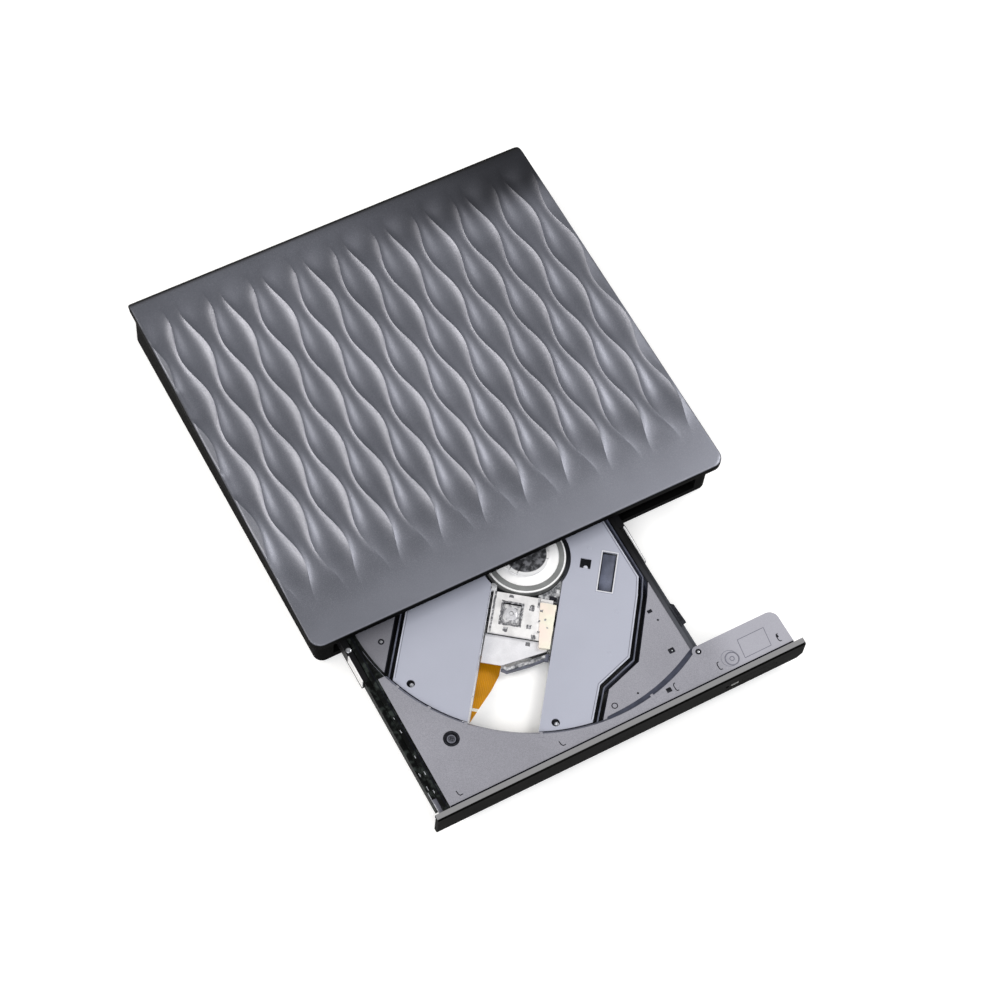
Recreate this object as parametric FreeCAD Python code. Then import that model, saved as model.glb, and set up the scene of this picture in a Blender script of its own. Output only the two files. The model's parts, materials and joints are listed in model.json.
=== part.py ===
import FreeCAD, Part
import os
from math import cos, sin, pi, radians

# Portable optical disc drive with its tray half open, in millimetres.
# X runs to the right seen from the front, Y to the back, Z up.
# The origin is the centre of the footprint, on the surface that the feet stand on.

# Case: cover, base and feet, with the room they leave round the drive
case_side_room = 8.65
case_back_room = 7.0
cover_back_left_taper = 1.9
cover_thickness = 2.5
cover_front_radius = 4.0
cover_back_radius = 2.5
cover_overhang = 2.8
spine_radius = 5.0
spine_wall = 2.0
spine_bottom = 9.0
case_rim_height = 16.0
base_wall = 1.8
base_floor = 1.6
base_corner_radius = 3.0
base_bevel = 1.0
foot_height = 1.0
foot_recess = 0.6
foot_radius = 4.5
foot_gap = 0.05
foot_inset_x = 8.0
foot_inset_y = 9.0
mouth_side_gap = 0.5
mouth_bottom = 3.4
mouth_top = 14.0

# Wave relief on the cover: crest lines in opposite phase to their neighbours
wave_line_pitch = 7.4
wave_line_count = 20
wave_middle_x = -0.3
wave_amplitude = 1.45
wave_length = 31.8
wave_phase_y = 40.3
wave_crest_height = 0.8
wave_crest_half_width = 1.9
wave_back_margin = 6.5
wave_front_margin = 12.0
wave_back_fade = 7.0
wave_front_fade = 24.0
wave_steps = 24

# Deck screws
screw_radius = 0.8
screw_head_radius = 1.3
screw_head_height = 0.8
screw_clearance = 0.03
screw_sink = 0.1

# Snap hooks that hold the cover to the base
snap_half_width = 3.0
snap_thickness = 1.2
snap_gap = 0.2
snap_bottom = 11.5
snap_barb = 0.6
snap_barb_height = 1.0
snap_spacing = 40.0
locator_gap = 0.15
locator_inset = 6.0
locator_drop = 1.2

# Drive: sheet metal chassis in the case
drive_width = 128.0
drive_front_setback = 9.0
drive_depth = 122.0
sheet = 0.5
chassis_bottom = 3.6
chassis_top = 12.9
shelf_bottom = 8.6
notch_depth = 16.0
top_plate_sheet = 0.4
top_flange_drop = 4.0
seat_pad_half = 2.5
seat_pad_inset = 14.0

# Tray and bezel
tray_out = 63.8
bezel_height = 9.4
bezel_bottom = 4.0
bezel_wall = 1.6
bezel_lip_depth = 2.15
bezel_lip_thickness = 1.2
bezel_corner = 0.6
bezel_chamfer = 2.4
spindle_x = 2.07
spindle_to_bezel = 66.5
well_radius = 60.9
well_slope = 1.2
tray_right = 32.0
tray_length = 122.0
tray_bottom = 5.0
deck_top = 12.2
deck_thickness = 1.3
floor_top = 10.4
floor_thickness = 1.2
tray_wall = 1.2
wing_depth = 14.9
wing_right_room = 2.6
wing_radius = 3.0
wing_lug_room = 2.2
wall_foot = 0.6
wall_lap = 1.0
bay_clearance = 0.4

# Rails: black rails on the tray, metal slides, fixed runners on the chassis
rail_gap = 0.2
rail_sheet = 0.5
tongue_width = 1.6
left_rail_width = 2.2
right_rail_width = 1.2
left_runner_back = 0.4
right_runner_back = 0.5
left_rail_bottom = 6.0
left_rail_top = 12.0
right_rail_bottom = 5.6
right_rail_top = 10.6
slide_length = 88.0
left_slide_front = -82.0
right_slide_front = -71.0
runner_front_gap = 9.5
runner_back_gap = 12.0

# Sledge lane and traverse
lane_angle = 52.7
lane_left = -8.8
lane_right = 12.8
groove_half = 1.35
cover_sheet = 0.4
spindle_opening = 14.4
traverse_bottom = 5.8
traverse_thickness = 1.0
traverse_inset = 0.95
traverse_rim_gap = 1.8
traverse_clearance = 0.3
arm_inner = 36.0
arm_width = 5.0
bracket_depth = 1.5
bracket_wall = 0.7
bracket_top = 0.5
traverse_gap_left = -16.6
traverse_gap_right = 15.4
shaft_radius = 1.0
shaft_height = 7.4
main_shaft_offset = -10.8
side_shaft_offset = 13.7
shaft_inner = 12.5
shaft_outer = 60.0
bearing_gap = 0.05
bearing_radius = 1.45
screw_shaft_radius = 1.2
screw_shaft_offset = -14.6
screw_shaft_inner = 2.0
screw_shaft_outer = 59.0
sled_motor_radius = 2.3
sled_motor_length = 11.0
motor_nose = 0.3
motor_foot_half = 1.5
motor_foot_inset = 1.0
motor_foot_lap = 0.5
screw_bearing_depth = 2.0
screw_bearing_wall = 0.6
screw_bearing_half = 1.9
screw_bearing_top = 0.5

# Pickup
lens_radius_at_rest = 20.2
lens_offset = -1.2
pickup_inner = 13.4
pickup_block_end = 27.5
pickup_outer = 32.4
pickup_left = -8.0
pickup_right = 11.4
pickup_bottom = 6.2
pickup_top = 9.0
pickup_low_top = 8.0
pickup_cover_top = 9.7
pickup_eye_places = (2.2, 6.5)
pickup_eye_length = 2.3
pickup_side_eye = 4.6
pickup_root = 0.4
pickup_arm_start = 3.6
pickup_arm_width = 2.0
pickup_arm_wall = 0.8
pickup_cover_inset = 0.4
pickup_step_start = 0.8
pickup_step_left = 6.5
pickup_step_sheet = 0.35
pickup_vent_place = (16.6, 4.9)
pickup_shelf_end = 30.0
pickup_vent_radius = 0.7
pickup_plate_end = 37.4
pickup_plate_corner = -1.6
pickup_plate_side = 30.2
pickup_plate_sheet = 0.3
flex_sheet = 0.2
flex_edge = ((34.0, -8.2), (34.0, -1.6), (39.5, -1.8), (44.9, -3.4), (51.4, -6.1), (56.6, -8.2))
lens_window = 8.0
lens_holder_size = 6.6
lens_holder_bottom = 8.7
lens_pocket_bottom = 8.2
lens_radius = 2.2
lens_top = 10.0
lens_seat = 0.3

# Bridge board, socket and plug at the back of the case
board_bottom = 4.0
board_thickness = 1.0
board_side_gap = 1.2
board_overhang = 0.2
board_pad_half = 1.5
board_pad_inset = 3.2
socket_width = 9.0
socket_height = 3.2
socket_depth = 7.4
socket_wall = 0.3
plug_width = 20.0
plug_depth = 4.4
plug_gap = 0.1
plug_end = 4.0
edge_gap = 0.08
main_board_setback = 20.0
main_board_gap = 0.6
main_board_lap = 1.0
chip_height = 0.8
chip_sizes = ((14.0, 14.0), (8.0, 10.0), (10.0, 5.0), (6.0, 6.0))
chip_inset = 4.0
chip_spacing = 5.0
bridge_chip_size = 7.0
bridge_chip_left = 7.5
crystal_size = (3.0, 2.0)
crystal_place = (1.5, -2.8)
capacitor_size = (1.8, 2.2, 1.4)
capacitor_places = ((1.0, 1.2), (4.0, 1.2))
tongue_inset = 1.2
tongue_setback = 1.0
tongue_half = 0.35
socket_corner = 0.45
plug_setback = 2.0

# Button, lamp window and pin hole in the bezel, and the small board behind them
button_x = 48.0
button_z = 8.2
button_width = 12.0
button_height = 3.2
button_corner = 0.5
button_gap = 0.12
button_seat = 0.05
button_flange_depth = 0.3
button_flange = 0.6
button_travel = 0.6
button_bay = 1.0
lamp_x = 39.2
lamp_width = 2.6
lamp_height = 1.0
pin_hole_x = 36.4
pin_hole_radius = 0.6
panel_thickness = 0.8
panel_setback = 1.0
panel_end = 3.6
switch_width = 5.0
switch_nose = 0.35

# Spindle
turntable_radius = 12.8
turntable_bottom = 9.8
turntable_top = 10.7
rotor_radius = 11.2
motor_radius = 9.5
motor_plate = 0.5
rotor_bottom = 7.6
spindle_shaft_radius = 0.75
friction_inner = 10.7
friction_outer = 12.3
friction_height = 0.3
hub_radius = 7.3
hub_top = 12.4
hub_bevel = 0.6
claw_turns = (90, 210, 330)
claw_root = 3.9
claw_half = 1.2
claw_bottom = 11.2
claw_side_gap = 0.3
claw_toe = 0.4
claw_nose = 0.15
claw_nose_height = 0.6
claw_shoulder = 0.9
claw_drop = (0.1, 0.3)

# Smaller features
dam_thickness = 1.0
floor_groove = 6.0
groove_inset = 12.0
chassis_groove_shares = (0.3, 0.6)
top_groove_shares = (0.25, 0.5, 0.75)
rail_lip = 0.3
tongue_start = 3.0
wing_bottom = 10.6
sledge_travel = 37.6
lane_end_room = 1.5
lane_side_room = 1.5
mechanism_left = -34.6
mechanism_rear = 24.0
groove_bends = ((-12.4, -64.9), (0.0, -50.0), (12.7, -46.1), (25.9, -28.4))
groove_last_rise = 5.7
groove_right_gap = 0.4
groove_side_gap = 2.0
cover_rim_gap = 0.4
cover_hole_radius = 1.3
square_hole = 3.4
square_along = -0.9
square_across = 19.0
window_along = 0.87
window_across = 26.1
window_length = 13.7
window_width = 4.6
window_rim = 0.4
window_lift = 0.25
post_half = 1.0
damper_radius = 1.9
deck_screw_x = -49.93
deck_screw_y = -44.6
deck_screw_ring = 2.4
deck_screw_tip = 6.0
lug_screw_x = 31.1
lug_screw_y = -53.5
lug_screw_tip = 8.0
lug_half = 1.8
screw_recess_rim = 0.4
shield_sheet = 0.4
shield_inset = 0.6
shield_corner = 2.0

# Values worked out from the sizes above
cover_width = drive_width + 2 * case_side_room
case_depth = drive_front_setback + drive_depth + case_back_room
rail_stack = tongue_width + rail_sheet + 2 * rail_gap
tray_left = -drive_width / 2 + sheet + left_runner_back + rail_stack + left_rail_width
shelf_left = tray_right + right_rail_width + rail_stack + right_runner_back
wing_right = drive_width / 2 - wing_right_room
board_left = shelf_left + board_side_gap
board_right = drive_width / 2 + board_overhang
socket_x_place = (board_left + board_right) / 2
cover_front = -case_depth / 2
cover_back = case_depth / 2
cover_half = cover_width / 2
base_half = cover_half - cover_overhang
base_front = cover_front + cover_overhang
base_back = cover_back - cover_overhang
base_bottom = foot_height
floor_level = base_bottom + base_floor
drive_half = drive_width / 2
drive_front = cover_front + drive_front_setback
drive_back = drive_front + drive_depth
bezel_front = cover_front - tray_out
bezel_back = bezel_front + bezel_wall
bezel_top = bezel_bottom + bezel_height
spindle_y = bezel_front + spindle_to_bezel
floor_radius = well_radius - well_slope
tray_back = bezel_back + tray_length
footprint_shift = tray_out / 2


def box(x0, x1, y0, y1, z0, z1):
    """Block between two corners."""
    return Part.makeBox(x1 - x0, y1 - y0, z1 - z0, FreeCAD.Vector(x0, y0, z0))


def disc(x, y, z0, z1, radius):
    """Upright cylinder."""
    return Part.makeCylinder(radius, z1 - z0, FreeCAD.Vector(x, y, z0))


def ring(x, y, z0, z1, inner, outer):
    """Upright tube."""
    return disc(x, y, z0, z1, outer).cut(disc(x, y, z0, z1, inner))


def prism(points, z0, z1):
    """Upright prism on a closed outline of corners."""
    corners = [FreeCAD.Vector(x, y, z0) for x, y in points]
    face = Part.Face(Part.makePolygon(corners + corners[:1]))
    return face.extrude(FreeCAD.Vector(0, 0, z1 - z0))


def rounded(solid, radius, at=None):
    """Round the upright edges, all of them or those that the test picks."""
    edges = []
    for edge in solid.Edges:
        first, last = edge.Vertexes[0].Point, edge.Vertexes[-1].Point
        upright = abs(first.x - last.x) < 1e-6 and abs(first.y - last.y) < 1e-6
        if upright and (at is None or at(first)):
            edges.append(edge)
    return solid.makeFillet(radius, edges)


def lane_point(along, across, z=0.0):
    """Point at a distance along the sledge lane from the spindle and across it to the right."""
    turn = radians(lane_angle)
    x = spindle_x - cos(turn) * along + sin(turn) * across
    y = spindle_y - sin(turn) * along - cos(turn) * across
    return FreeCAD.Vector(x, y, z)


def lane_box(u0, u1, n0, n1, z0, z1):
    """Block lined up with the sledge lane."""
    corners = [lane_point(u, n) for u, n in ((u0, n0), (u1, n0), (u1, n1), (u0, n1))]
    return prism([(p.x, p.y) for p in corners], z0, z1)


def lane_rod(u0, u1, n, z, radius):
    """Round bar along the sledge lane."""
    start = lane_point(u0, n, z)
    end = lane_point(u1, n, z)
    return Part.makeCylinder(radius, u1 - u0, start, end - start)


def lane_disc(u, n, z0, z1, radius):
    """Upright cylinder at a place in the sledge lane."""
    at = lane_point(u, n)
    return disc(at.x, at.y, z0, z1, radius)


def save(name, solids):
    """Write one sub-part, moved so that the footprint's centre is the origin."""
    shape = solids[0] if len(solids) == 1 else Part.makeCompound(solids)
    moved = shape.copy()
    moved.translate(FreeCAD.Vector(0, footprint_shift, 0))
    moved.exportStep("parts/" + name + ".step")


def corner_places(x, y):
    """Four places mirrored about the middle of the case."""
    return [(side * x, end * y) for side in (-1, 1) for end in (-1, 1)]


def cover_plan(grow=0.0):
    """Outline of the cover seen from above: its left edge draws in towards the back."""
    left_back = -cover_half + cover_back_left_taper
    return [
        (-cover_half - grow, cover_front - grow),
        (cover_half + grow, cover_front - grow),
        (cover_half + grow, cover_back + grow),
        (left_back - grow, cover_back + grow),
    ]


def cover_section():
    """Side section of the cover: a plate that rolls down into the spine at the back."""
    top = case_rim_height + cover_thickness
    inner = spine_radius - spine_wall
    bend_y = cover_back - spine_radius
    bend_z = top - spine_radius
    slope = cos(pi / 4)

    def point(y, z):
        return FreeCAD.Vector(-cover_half - 1, y, z)

    outer_arc = Part.Arc(
        point(bend_y, top),
        point(bend_y + spine_radius * slope, bend_z + spine_radius * slope),
        point(cover_back, bend_z),
    )
    inner_arc = Part.Arc(
        point(cover_back - spine_wall, bend_z),
        point(bend_y + inner * slope, bend_z + inner * slope),
        point(bend_y, top - spine_wall),
    )
    edges = [
        Part.LineSegment(point(cover_front, top), point(bend_y, top)).toShape(),
        outer_arc.toShape(),
        Part.LineSegment(point(cover_back, bend_z), point(cover_back, spine_bottom)).toShape(),
        Part.LineSegment(
            point(cover_back, spine_bottom), point(cover_back - spine_wall, spine_bottom)
        ).toShape(),
        Part.LineSegment(
            point(cover_back - spine_wall, spine_bottom), point(cover_back - spine_wall, bend_z)
        ).toShape(),
        inner_arc.toShape(),
        Part.LineSegment(point(bend_y, top - spine_wall), point(bend_y, case_rim_height)).toShape(),
        Part.LineSegment(point(bend_y, case_rim_height), point(cover_front, case_rim_height)).toShape(),
        Part.LineSegment(point(cover_front, case_rim_height), point(cover_front, top)).toShape(),
    ]
    return Part.Face(Part.Wire(edges)).extrude(FreeCAD.Vector(cover_width + 2, 0, 0))


def smooth_step(value):
    """Ease from 0 to 1."""
    value = min(max(value, 0.0), 1.0)
    return value * value * (3 - 2 * value)


def crest_points(line, top, offset, raised):
    """Points along one crest line, or along one of the feet of its flanks."""
    start = cover_front + wave_front_margin
    end = cover_back - wave_back_margin
    middle = wave_middle_x + (line - (wave_line_count - 1) / 2) * wave_line_pitch
    side = 1 if line % 2 == 0 else -1
    points = []
    for step in range(wave_steps + 1):
        y = start + (end - start) * step / wave_steps
        swing = side * wave_amplitude * cos(2 * pi * (y - wave_phase_y) / wave_length)
        fade = smooth_step((y - start) / wave_front_fade) * smooth_step((end - y) / wave_back_fade)
        height = wave_crest_height * fade if raised else 0.0
        points.append(FreeCAD.Vector(middle + swing + offset * fade ** 0.5, y, top + height))
    return points


def strip_faces(first, second):
    """Faces between two rows of points: a flat one where the four corners allow, else two triangles."""
    faces = []
    for a, b, c, d in zip(first, first[1:], second[1:], second):
        normal = (b - a).cross(d - a)
        if a.isEqual(d, 1e-6):
            corners = [[a, b, c]]
        elif b.isEqual(c, 1e-6):
            corners = [[a, b, d]]
        elif abs(normal.dot(c - a)) < 1e-6 * normal.Length:
            corners = [[a, b, c, d]]
        else:
            corners = [[a, b, c], [a, c, d]]
        faces += [Part.Face(Part.makePolygon(loop + loop[:1])) for loop in corners]
    return faces


def crest_ridge(line):
    """One wavy ridge: two flanks that meet at the crest and run out to nothing at both ends."""
    top = case_rim_height + cover_thickness
    left = crest_points(line, top, -wave_crest_half_width, False)
    crest = crest_points(line, top, 0.0, True)
    right = crest_points(line, top, wave_crest_half_width, False)
    loop = left + right[-2:0:-1]
    base = Part.Face(Part.makePolygon(loop + loop[:1]))
    shell = Part.makeShell(strip_faces(left, crest) + strip_faces(crest, right) + [base])
    shell.sewShape()
    solid = Part.makeSolid(shell)
    if solid.Volume < 0:
        solid.reverse()
    return solid


def top_cover():
    """Cover with its overhang, rolled spine, wave relief and snap hooks."""
    plan = prism(cover_plan(), spine_bottom - 1, case_rim_height + cover_thickness + 1)
    plan = rounded(plan, cover_front_radius, lambda p: p.y < 0)
    plan = rounded(plan, cover_back_radius, lambda p: p.y > 0)
    body = cover_section().common(plan)
    rim = base_front + base_wall + locator_gap
    locator_half = cover_half - locator_inset
    locator = box(
        -locator_half, locator_half, rim, rim + base_wall, case_rim_height - locator_drop, case_rim_height
    )
    hooks = []
    for side, y in snap_places():
        outer = base_half - base_wall - snap_gap
        y0, y1 = y - snap_half_width, y + snap_half_width
        hooks.append(side_block(side * (outer - snap_thickness), side * outer, y0, y1, snap_bottom, case_rim_height))
        barb_top = snap_bottom + snap_barb_height
        hooks.append(side_block(side * outer, side * (outer + snap_barb), y0, y1, snap_bottom, barb_top))
    edge_x = cover_half + 1
    trim = box(-edge_x, edge_x, cover_front, cover_back, case_rim_height, case_rim_height + cover_thickness + 2)
    relief = Part.makeCompound([crest_ridge(line) for line in range(wave_line_count)])
    inside = relief.common(trim.common(plan))
    return body.fuse(hooks + [locator] + inside.Solids)


def snap_places():
    """Side and place along the depth of each snap hook."""
    return [(side, row * snap_spacing) for side in (-1, 1) for row in (-1, 0, 1)]


def bottom_case():
    """Base tray of the case with its walls, mouth, seats, snap pockets and socket window."""
    outer = rounded(
        box(-base_half, base_half, base_front, base_back, base_bottom, case_rim_height), base_corner_radius
    )
    inner = box(
        -base_half + base_wall, base_half - base_wall,
        base_front + base_wall, base_back - base_wall, floor_level, case_rim_height,
    )
    body = outer.cut(rounded(inner, base_corner_radius - base_wall))
    mouth_half = drive_half + mouth_side_gap
    cuts = [box(-mouth_half, mouth_half, base_front, base_front + base_wall, mouth_bottom, mouth_top)]
    socket_x, socket_z = socket_centre()
    cuts.append(box(
        socket_x - socket_width / 2 - bay_clearance, socket_x + socket_width / 2 + bay_clearance,
        base_back - base_wall, base_back,
        socket_z - socket_height / 2 - bay_clearance, socket_z + socket_height / 2 + bay_clearance,
    ))
    for x, y in foot_places():
        cuts.append(disc(x, y, base_bottom, base_bottom + foot_recess, foot_radius))
    adds = []
    for x, y in seat_places():
        half = seat_pad_half
        adds.append(box(x - half, x + half, y - half, y + half, floor_level, chassis_bottom))
    for side, y in snap_places():
        inner = base_half - base_wall
        half = snap_half_width + snap_gap
        cuts.append(side_block(
            side * (inner - 1), side * (inner + snap_barb), y - half, y + half,
            snap_bottom - snap_gap, snap_bottom + snap_barb_height + snap_gap / 2,
        ))
    dam_back = drive_front - bay_clearance
    adds.append(box(
        shelf_left + sheet + bay_clearance, base_half - base_wall,
        dam_back - dam_thickness, dam_back, floor_level, shelf_bottom - bay_clearance,
    ))
    for x, y in board_pad_places():
        half = board_pad_half
        adds.append(box(x - half, x + half, y - half, y + half, floor_level, board_bottom))
    bevel = [
        (base_back + 1, case_rim_height + 1), (base_back - base_bevel - 1, case_rim_height + 1),
        (base_back + 1, case_rim_height - base_bevel - 1),
    ]
    points = [FreeCAD.Vector(-base_half - 1, y, z) for y, z in bevel]
    wedge = Part.Face(Part.makePolygon(points + points[:1]))
    cuts.append(wedge.extrude(FreeCAD.Vector(2 * base_half + 2, 0, 0)))
    return body.fuse(adds).cut(cuts)


def foot_places():
    """Centres of the four rubber feet."""
    return corner_places(base_half - foot_inset_x, base_back - foot_inset_y)


def seat_places():
    """Centres of the pads that carry the drive."""
    x = seat_pad_inset
    left = -drive_half + x
    right = shelf_left - x
    return [(left, drive_front + x), (left, drive_back - x), (right, drive_front + x), (right, drive_back - x)]


def rubber_feet():
    """Four round pads set in recesses under the base."""
    top = base_bottom + foot_recess
    return [disc(x, y, 0, top, foot_radius - foot_gap) for x, y in foot_places()]


def chassis_plan():
    """Side notch at the back right of the drive where its plug sits."""
    return box(
        shelf_left + sheet, drive_half + 1, drive_back - notch_depth, drive_back + 1, chassis_bottom - 1,
        case_rim_height,
    )


def drive_chassis():
    """Lower sheet of the drive: floor on the left, raised shelf on the right, side and back walls."""
    left, right, front, back = -drive_half, drive_half, drive_front, drive_back
    floor = box(left, shelf_left + sheet, front, back, chassis_bottom, chassis_bottom + sheet)
    step = box(shelf_left, shelf_left + sheet, front, back, chassis_bottom, shelf_bottom + sheet)
    shelf = box(shelf_left, right, front, back, shelf_bottom, shelf_bottom + sheet)
    left_wall = box(left, left + sheet, front, back, chassis_bottom, chassis_top)
    right_wall = box(right - sheet, right, front, back, shelf_bottom, chassis_top)
    back_wall = box(left, shelf_left + sheet, back - sheet, back, chassis_bottom, chassis_top)
    body = floor.fuse([step, shelf, left_wall, right_wall]).cut(chassis_plan()).fuse(back_wall)
    notch_front = back - notch_depth
    notch_side = box(shelf_left, shelf_left + sheet, notch_front, back, shelf_bottom, chassis_top)
    notch_end = box(shelf_left, right, notch_front - sheet, notch_front, shelf_bottom, chassis_top)
    body = body.fuse([notch_side, notch_end])
    ribs = []
    for share in chassis_groove_shares:
        y = front + drive_depth * share
        ribs.append(box(
            left + groove_inset, shelf_left - groove_inset, y, y + floor_groove, chassis_bottom, chassis_bottom + sheet / 2,
        ))
    plug = plug_left()
    window = box(
        plug + plug_end - bay_clearance, plug + plug_width - plug_end + bay_clearance,
        notch_front - sheet, notch_front, shelf_bottom + sheet, shelf_bottom + sheet + board_thickness + bay_clearance,
    )
    return body.cut(ribs + [window])


def drive_top_plate():
    """Upper sheet of the drive with folded flanges down both sides."""
    left, right, front, back = -drive_half, drive_half, drive_front, drive_back
    fold = top_plate_sheet
    outer = box(left - fold, right + fold, front, back, chassis_top - top_flange_drop, chassis_top + fold)
    inner = box(left, right, front, back, chassis_top - top_flange_drop, chassis_top)
    body = outer.cut(inner).cut(chassis_plan())
    ribs = []
    for share in top_groove_shares:
        y = front + drive_depth * share
        ribs.append(box(left + groove_inset, shelf_left, y, y + floor_groove, chassis_top + fold / 2, chassis_top + fold))
    return body.cut(ribs)


def socket_centre():
    """Middle of the socket across the back and in height."""
    return socket_x_place, board_bottom + board_thickness + socket_height / 2


def board_pad_places():
    """Pads that carry the bridge board."""
    y = drive_back - notch_depth / 2
    return [(board_left + board_pad_inset, y), (board_right - board_pad_inset, y)]


def usb_bridge_board():
    """Small board behind the notch of the drive."""
    return box(board_left, board_right, board_front(), board_back(), board_bottom, board_bottom + board_thickness)


def board_front():
    """Front edge of the bridge board, behind the notch wall of the drive."""
    return drive_back - notch_depth + bay_clearance


def board_back():
    """Back edge of the bridge board, short of the case wall."""
    return base_back - base_wall - bay_clearance


def bridge_chips():
    """Controller, crystal and two capacitors on the bridge board."""
    top = board_bottom + board_thickness
    x, y = (board_left + board_right) / 2, drive_back - notch_depth / 2
    left, half = x - bridge_chip_left, bridge_chip_size / 2
    chip = box(left, left + bridge_chip_size, y - half, y + half, top, top + chip_height)
    dx, dy = crystal_place
    crystal = box(x + dx, x + dx + crystal_size[0], y + dy, y + dy + crystal_size[1], top, top + chip_height)
    width, depth, height = capacitor_size
    caps = [box(x + dx, x + dx + width, y + dy, y + dy + depth, top, top + height) for dx, dy in capacitor_places]
    return [chip, crystal] + caps


def usb_socket():
    """Flat metal socket shell with its tongue, open at the back of the case."""
    x, z = socket_centre()
    back = base_back
    front = back - socket_depth
    half_w, half_h = socket_width / 2, socket_height / 2
    outer = box(x - half_w, x + half_w, front, back, z - half_h, z + half_h)
    wall = socket_wall
    inner = box(x - half_w + wall, x + half_w - wall, front + wall, back, z - half_h + wall, z + half_h - wall)
    flat = [edge for edge in outer.Edges if abs(edge.Length - socket_depth) < 1e-6]
    outer = outer.makeFillet(socket_height * socket_corner, flat)
    long_in = [edge for edge in inner.Edges if abs(edge.Length - (socket_depth - wall)) < 1e-6]
    inner = inner.makeFillet((socket_height - 2 * wall) * socket_corner, long_in)
    tongue_w = half_w - tongue_inset
    tongue = box(x - tongue_w, x + tongue_w, front + wall, back - tongue_setback, z - tongue_half, z + tongue_half)
    return outer.cut(inner), tongue


def plug_left():
    """Left end of the drive's plug."""
    return board_left + plug_setback


def drive_plug():
    """Connector that stands on the bridge board and takes the edge of the drive's board."""
    top = board_bottom + board_thickness
    front = drive_back - notch_depth + plug_gap
    left = plug_left()
    block = box(left, left + plug_width, front, front + plug_depth, top, chassis_top - plug_gap)
    low, high = shelf_bottom + sheet, shelf_bottom + sheet + board_thickness
    slot = box(
        left + plug_end - edge_gap, left + plug_width - plug_end + edge_gap,
        front, front + plug_depth / 2 + edge_gap, low - edge_gap, high + edge_gap,
    )
    foot = box(left, left + plug_width, front, board_front(), top - board_thickness, top)
    return block.cut(slot).cut(foot)


def main_board():
    """Drive electronics board on the raised shelf, under the edge of the disc."""
    low, high = shelf_bottom + sheet, shelf_bottom + sheet + board_thickness
    notch = drive_back - notch_depth
    board = box(
        shelf_left + sheet + main_board_gap, drive_half - sheet - main_board_gap,
        drive_front + main_board_setback, notch - sheet - main_board_gap, low, high,
    )
    left = plug_left()
    edge = box(
        left + plug_end, left + plug_width - plug_end, notch - sheet - main_board_lap, notch + plug_gap + plug_depth / 2,
        low, high,
    )
    return board.fuse(edge).removeSplitter()


def main_chips():
    """Packages on the main board."""
    z = shelf_bottom + sheet + board_thickness
    left = shelf_left + sheet + main_board_gap + chip_inset
    chips = []
    y = drive_front + main_board_setback + chip_inset
    for width, depth in chip_sizes:
        chips.append(box(left, left + width, y, y + depth, z, z + chip_height))
        y += depth + chip_spacing
    return chips


def rail_levels(side):
    """Bottom and top of the rail set on one side."""
    if side < 0:
        return left_rail_bottom, left_rail_top
    return right_rail_bottom, right_rail_top


def rail_edges(side):
    """Distances off the tray's side: body, tongue, slide web and runner strip, going outwards."""
    width = left_rail_width if side < 0 else right_rail_width
    start = tray_left if side < 0 else tray_right
    body = start + side * width
    tongue = body + side * tongue_width
    web = tongue + side * rail_gap
    strip = web + side * (rail_sheet + rail_gap)
    return start, body, tongue, web, strip


def side_block(xa, xb, y0, y1, z0, z1):
    """Block between two distances given in either order."""
    return box(min(xa, xb), max(xa, xb), y0, y1, z0, z1)


def tray_rail(side):
    """Black rail along the side of the tray, with the tongue that the slide grips."""
    bottom, top = rail_levels(side)
    start, body, tongue, web, strip = rail_edges(side)
    front = bezel_back if side < 0 else bezel_back + tray_wall
    rail = side_block(start, body, front, tray_back, bottom, top)
    grip = side_block(
        body, tongue, front + tongue_start, tray_back,
        bottom + rail_sheet + 2 * rail_gap + rail_lip, top - rail_sheet - 2 * rail_gap - rail_lip,
    )
    if side < 0:
        return rail.fuse(grip)
    x, y = lug_screw_place()
    lug = side_block(start, tongue - rail_gap, y - lug_half, y + lug_half, bottom, top)
    bore = disc(x, y, lug_screw_tip, top, screw_radius + screw_clearance)
    return rail.fuse([grip, lug]).cut(bore)


def slide(side):
    """Sheet metal channel that runs between the tray rail and the fixed runner."""
    bottom, top = rail_levels(side)
    start, body, tongue, web, strip = rail_edges(side)
    front = left_slide_front if side < 0 else right_slide_front
    low, high = bottom + rail_lip + rail_gap, top - rail_lip - rail_gap
    outer = side_block(body + side * rail_gap, web + side * rail_sheet, front, front + slide_length, low, high)
    inner = side_block(
        body, web, front, front + slide_length, low + rail_sheet, high - rail_sheet
    )
    return outer.cut(inner)


def runner(side):
    """Fixed plastic channel on the chassis that guides the slide."""
    bottom, top = rail_levels(side)
    start, body, tongue, web, strip = rail_edges(side)
    wall = -drive_half + sheet if side < 0 else shelf_left
    y0, y1 = drive_front + (0 if side < 0 else runner_front_gap), drive_back - runner_back_gap
    back = side_block(strip, wall, y0, y1, bottom, top)
    lips = [
        side_block(body + side * rail_gap, strip, y0, y1, bottom, bottom + rail_lip),
        side_block(body + side * rail_gap, strip, y0, y1, top - rail_lip, top),
    ]
    return back.fuse(lips)


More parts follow.
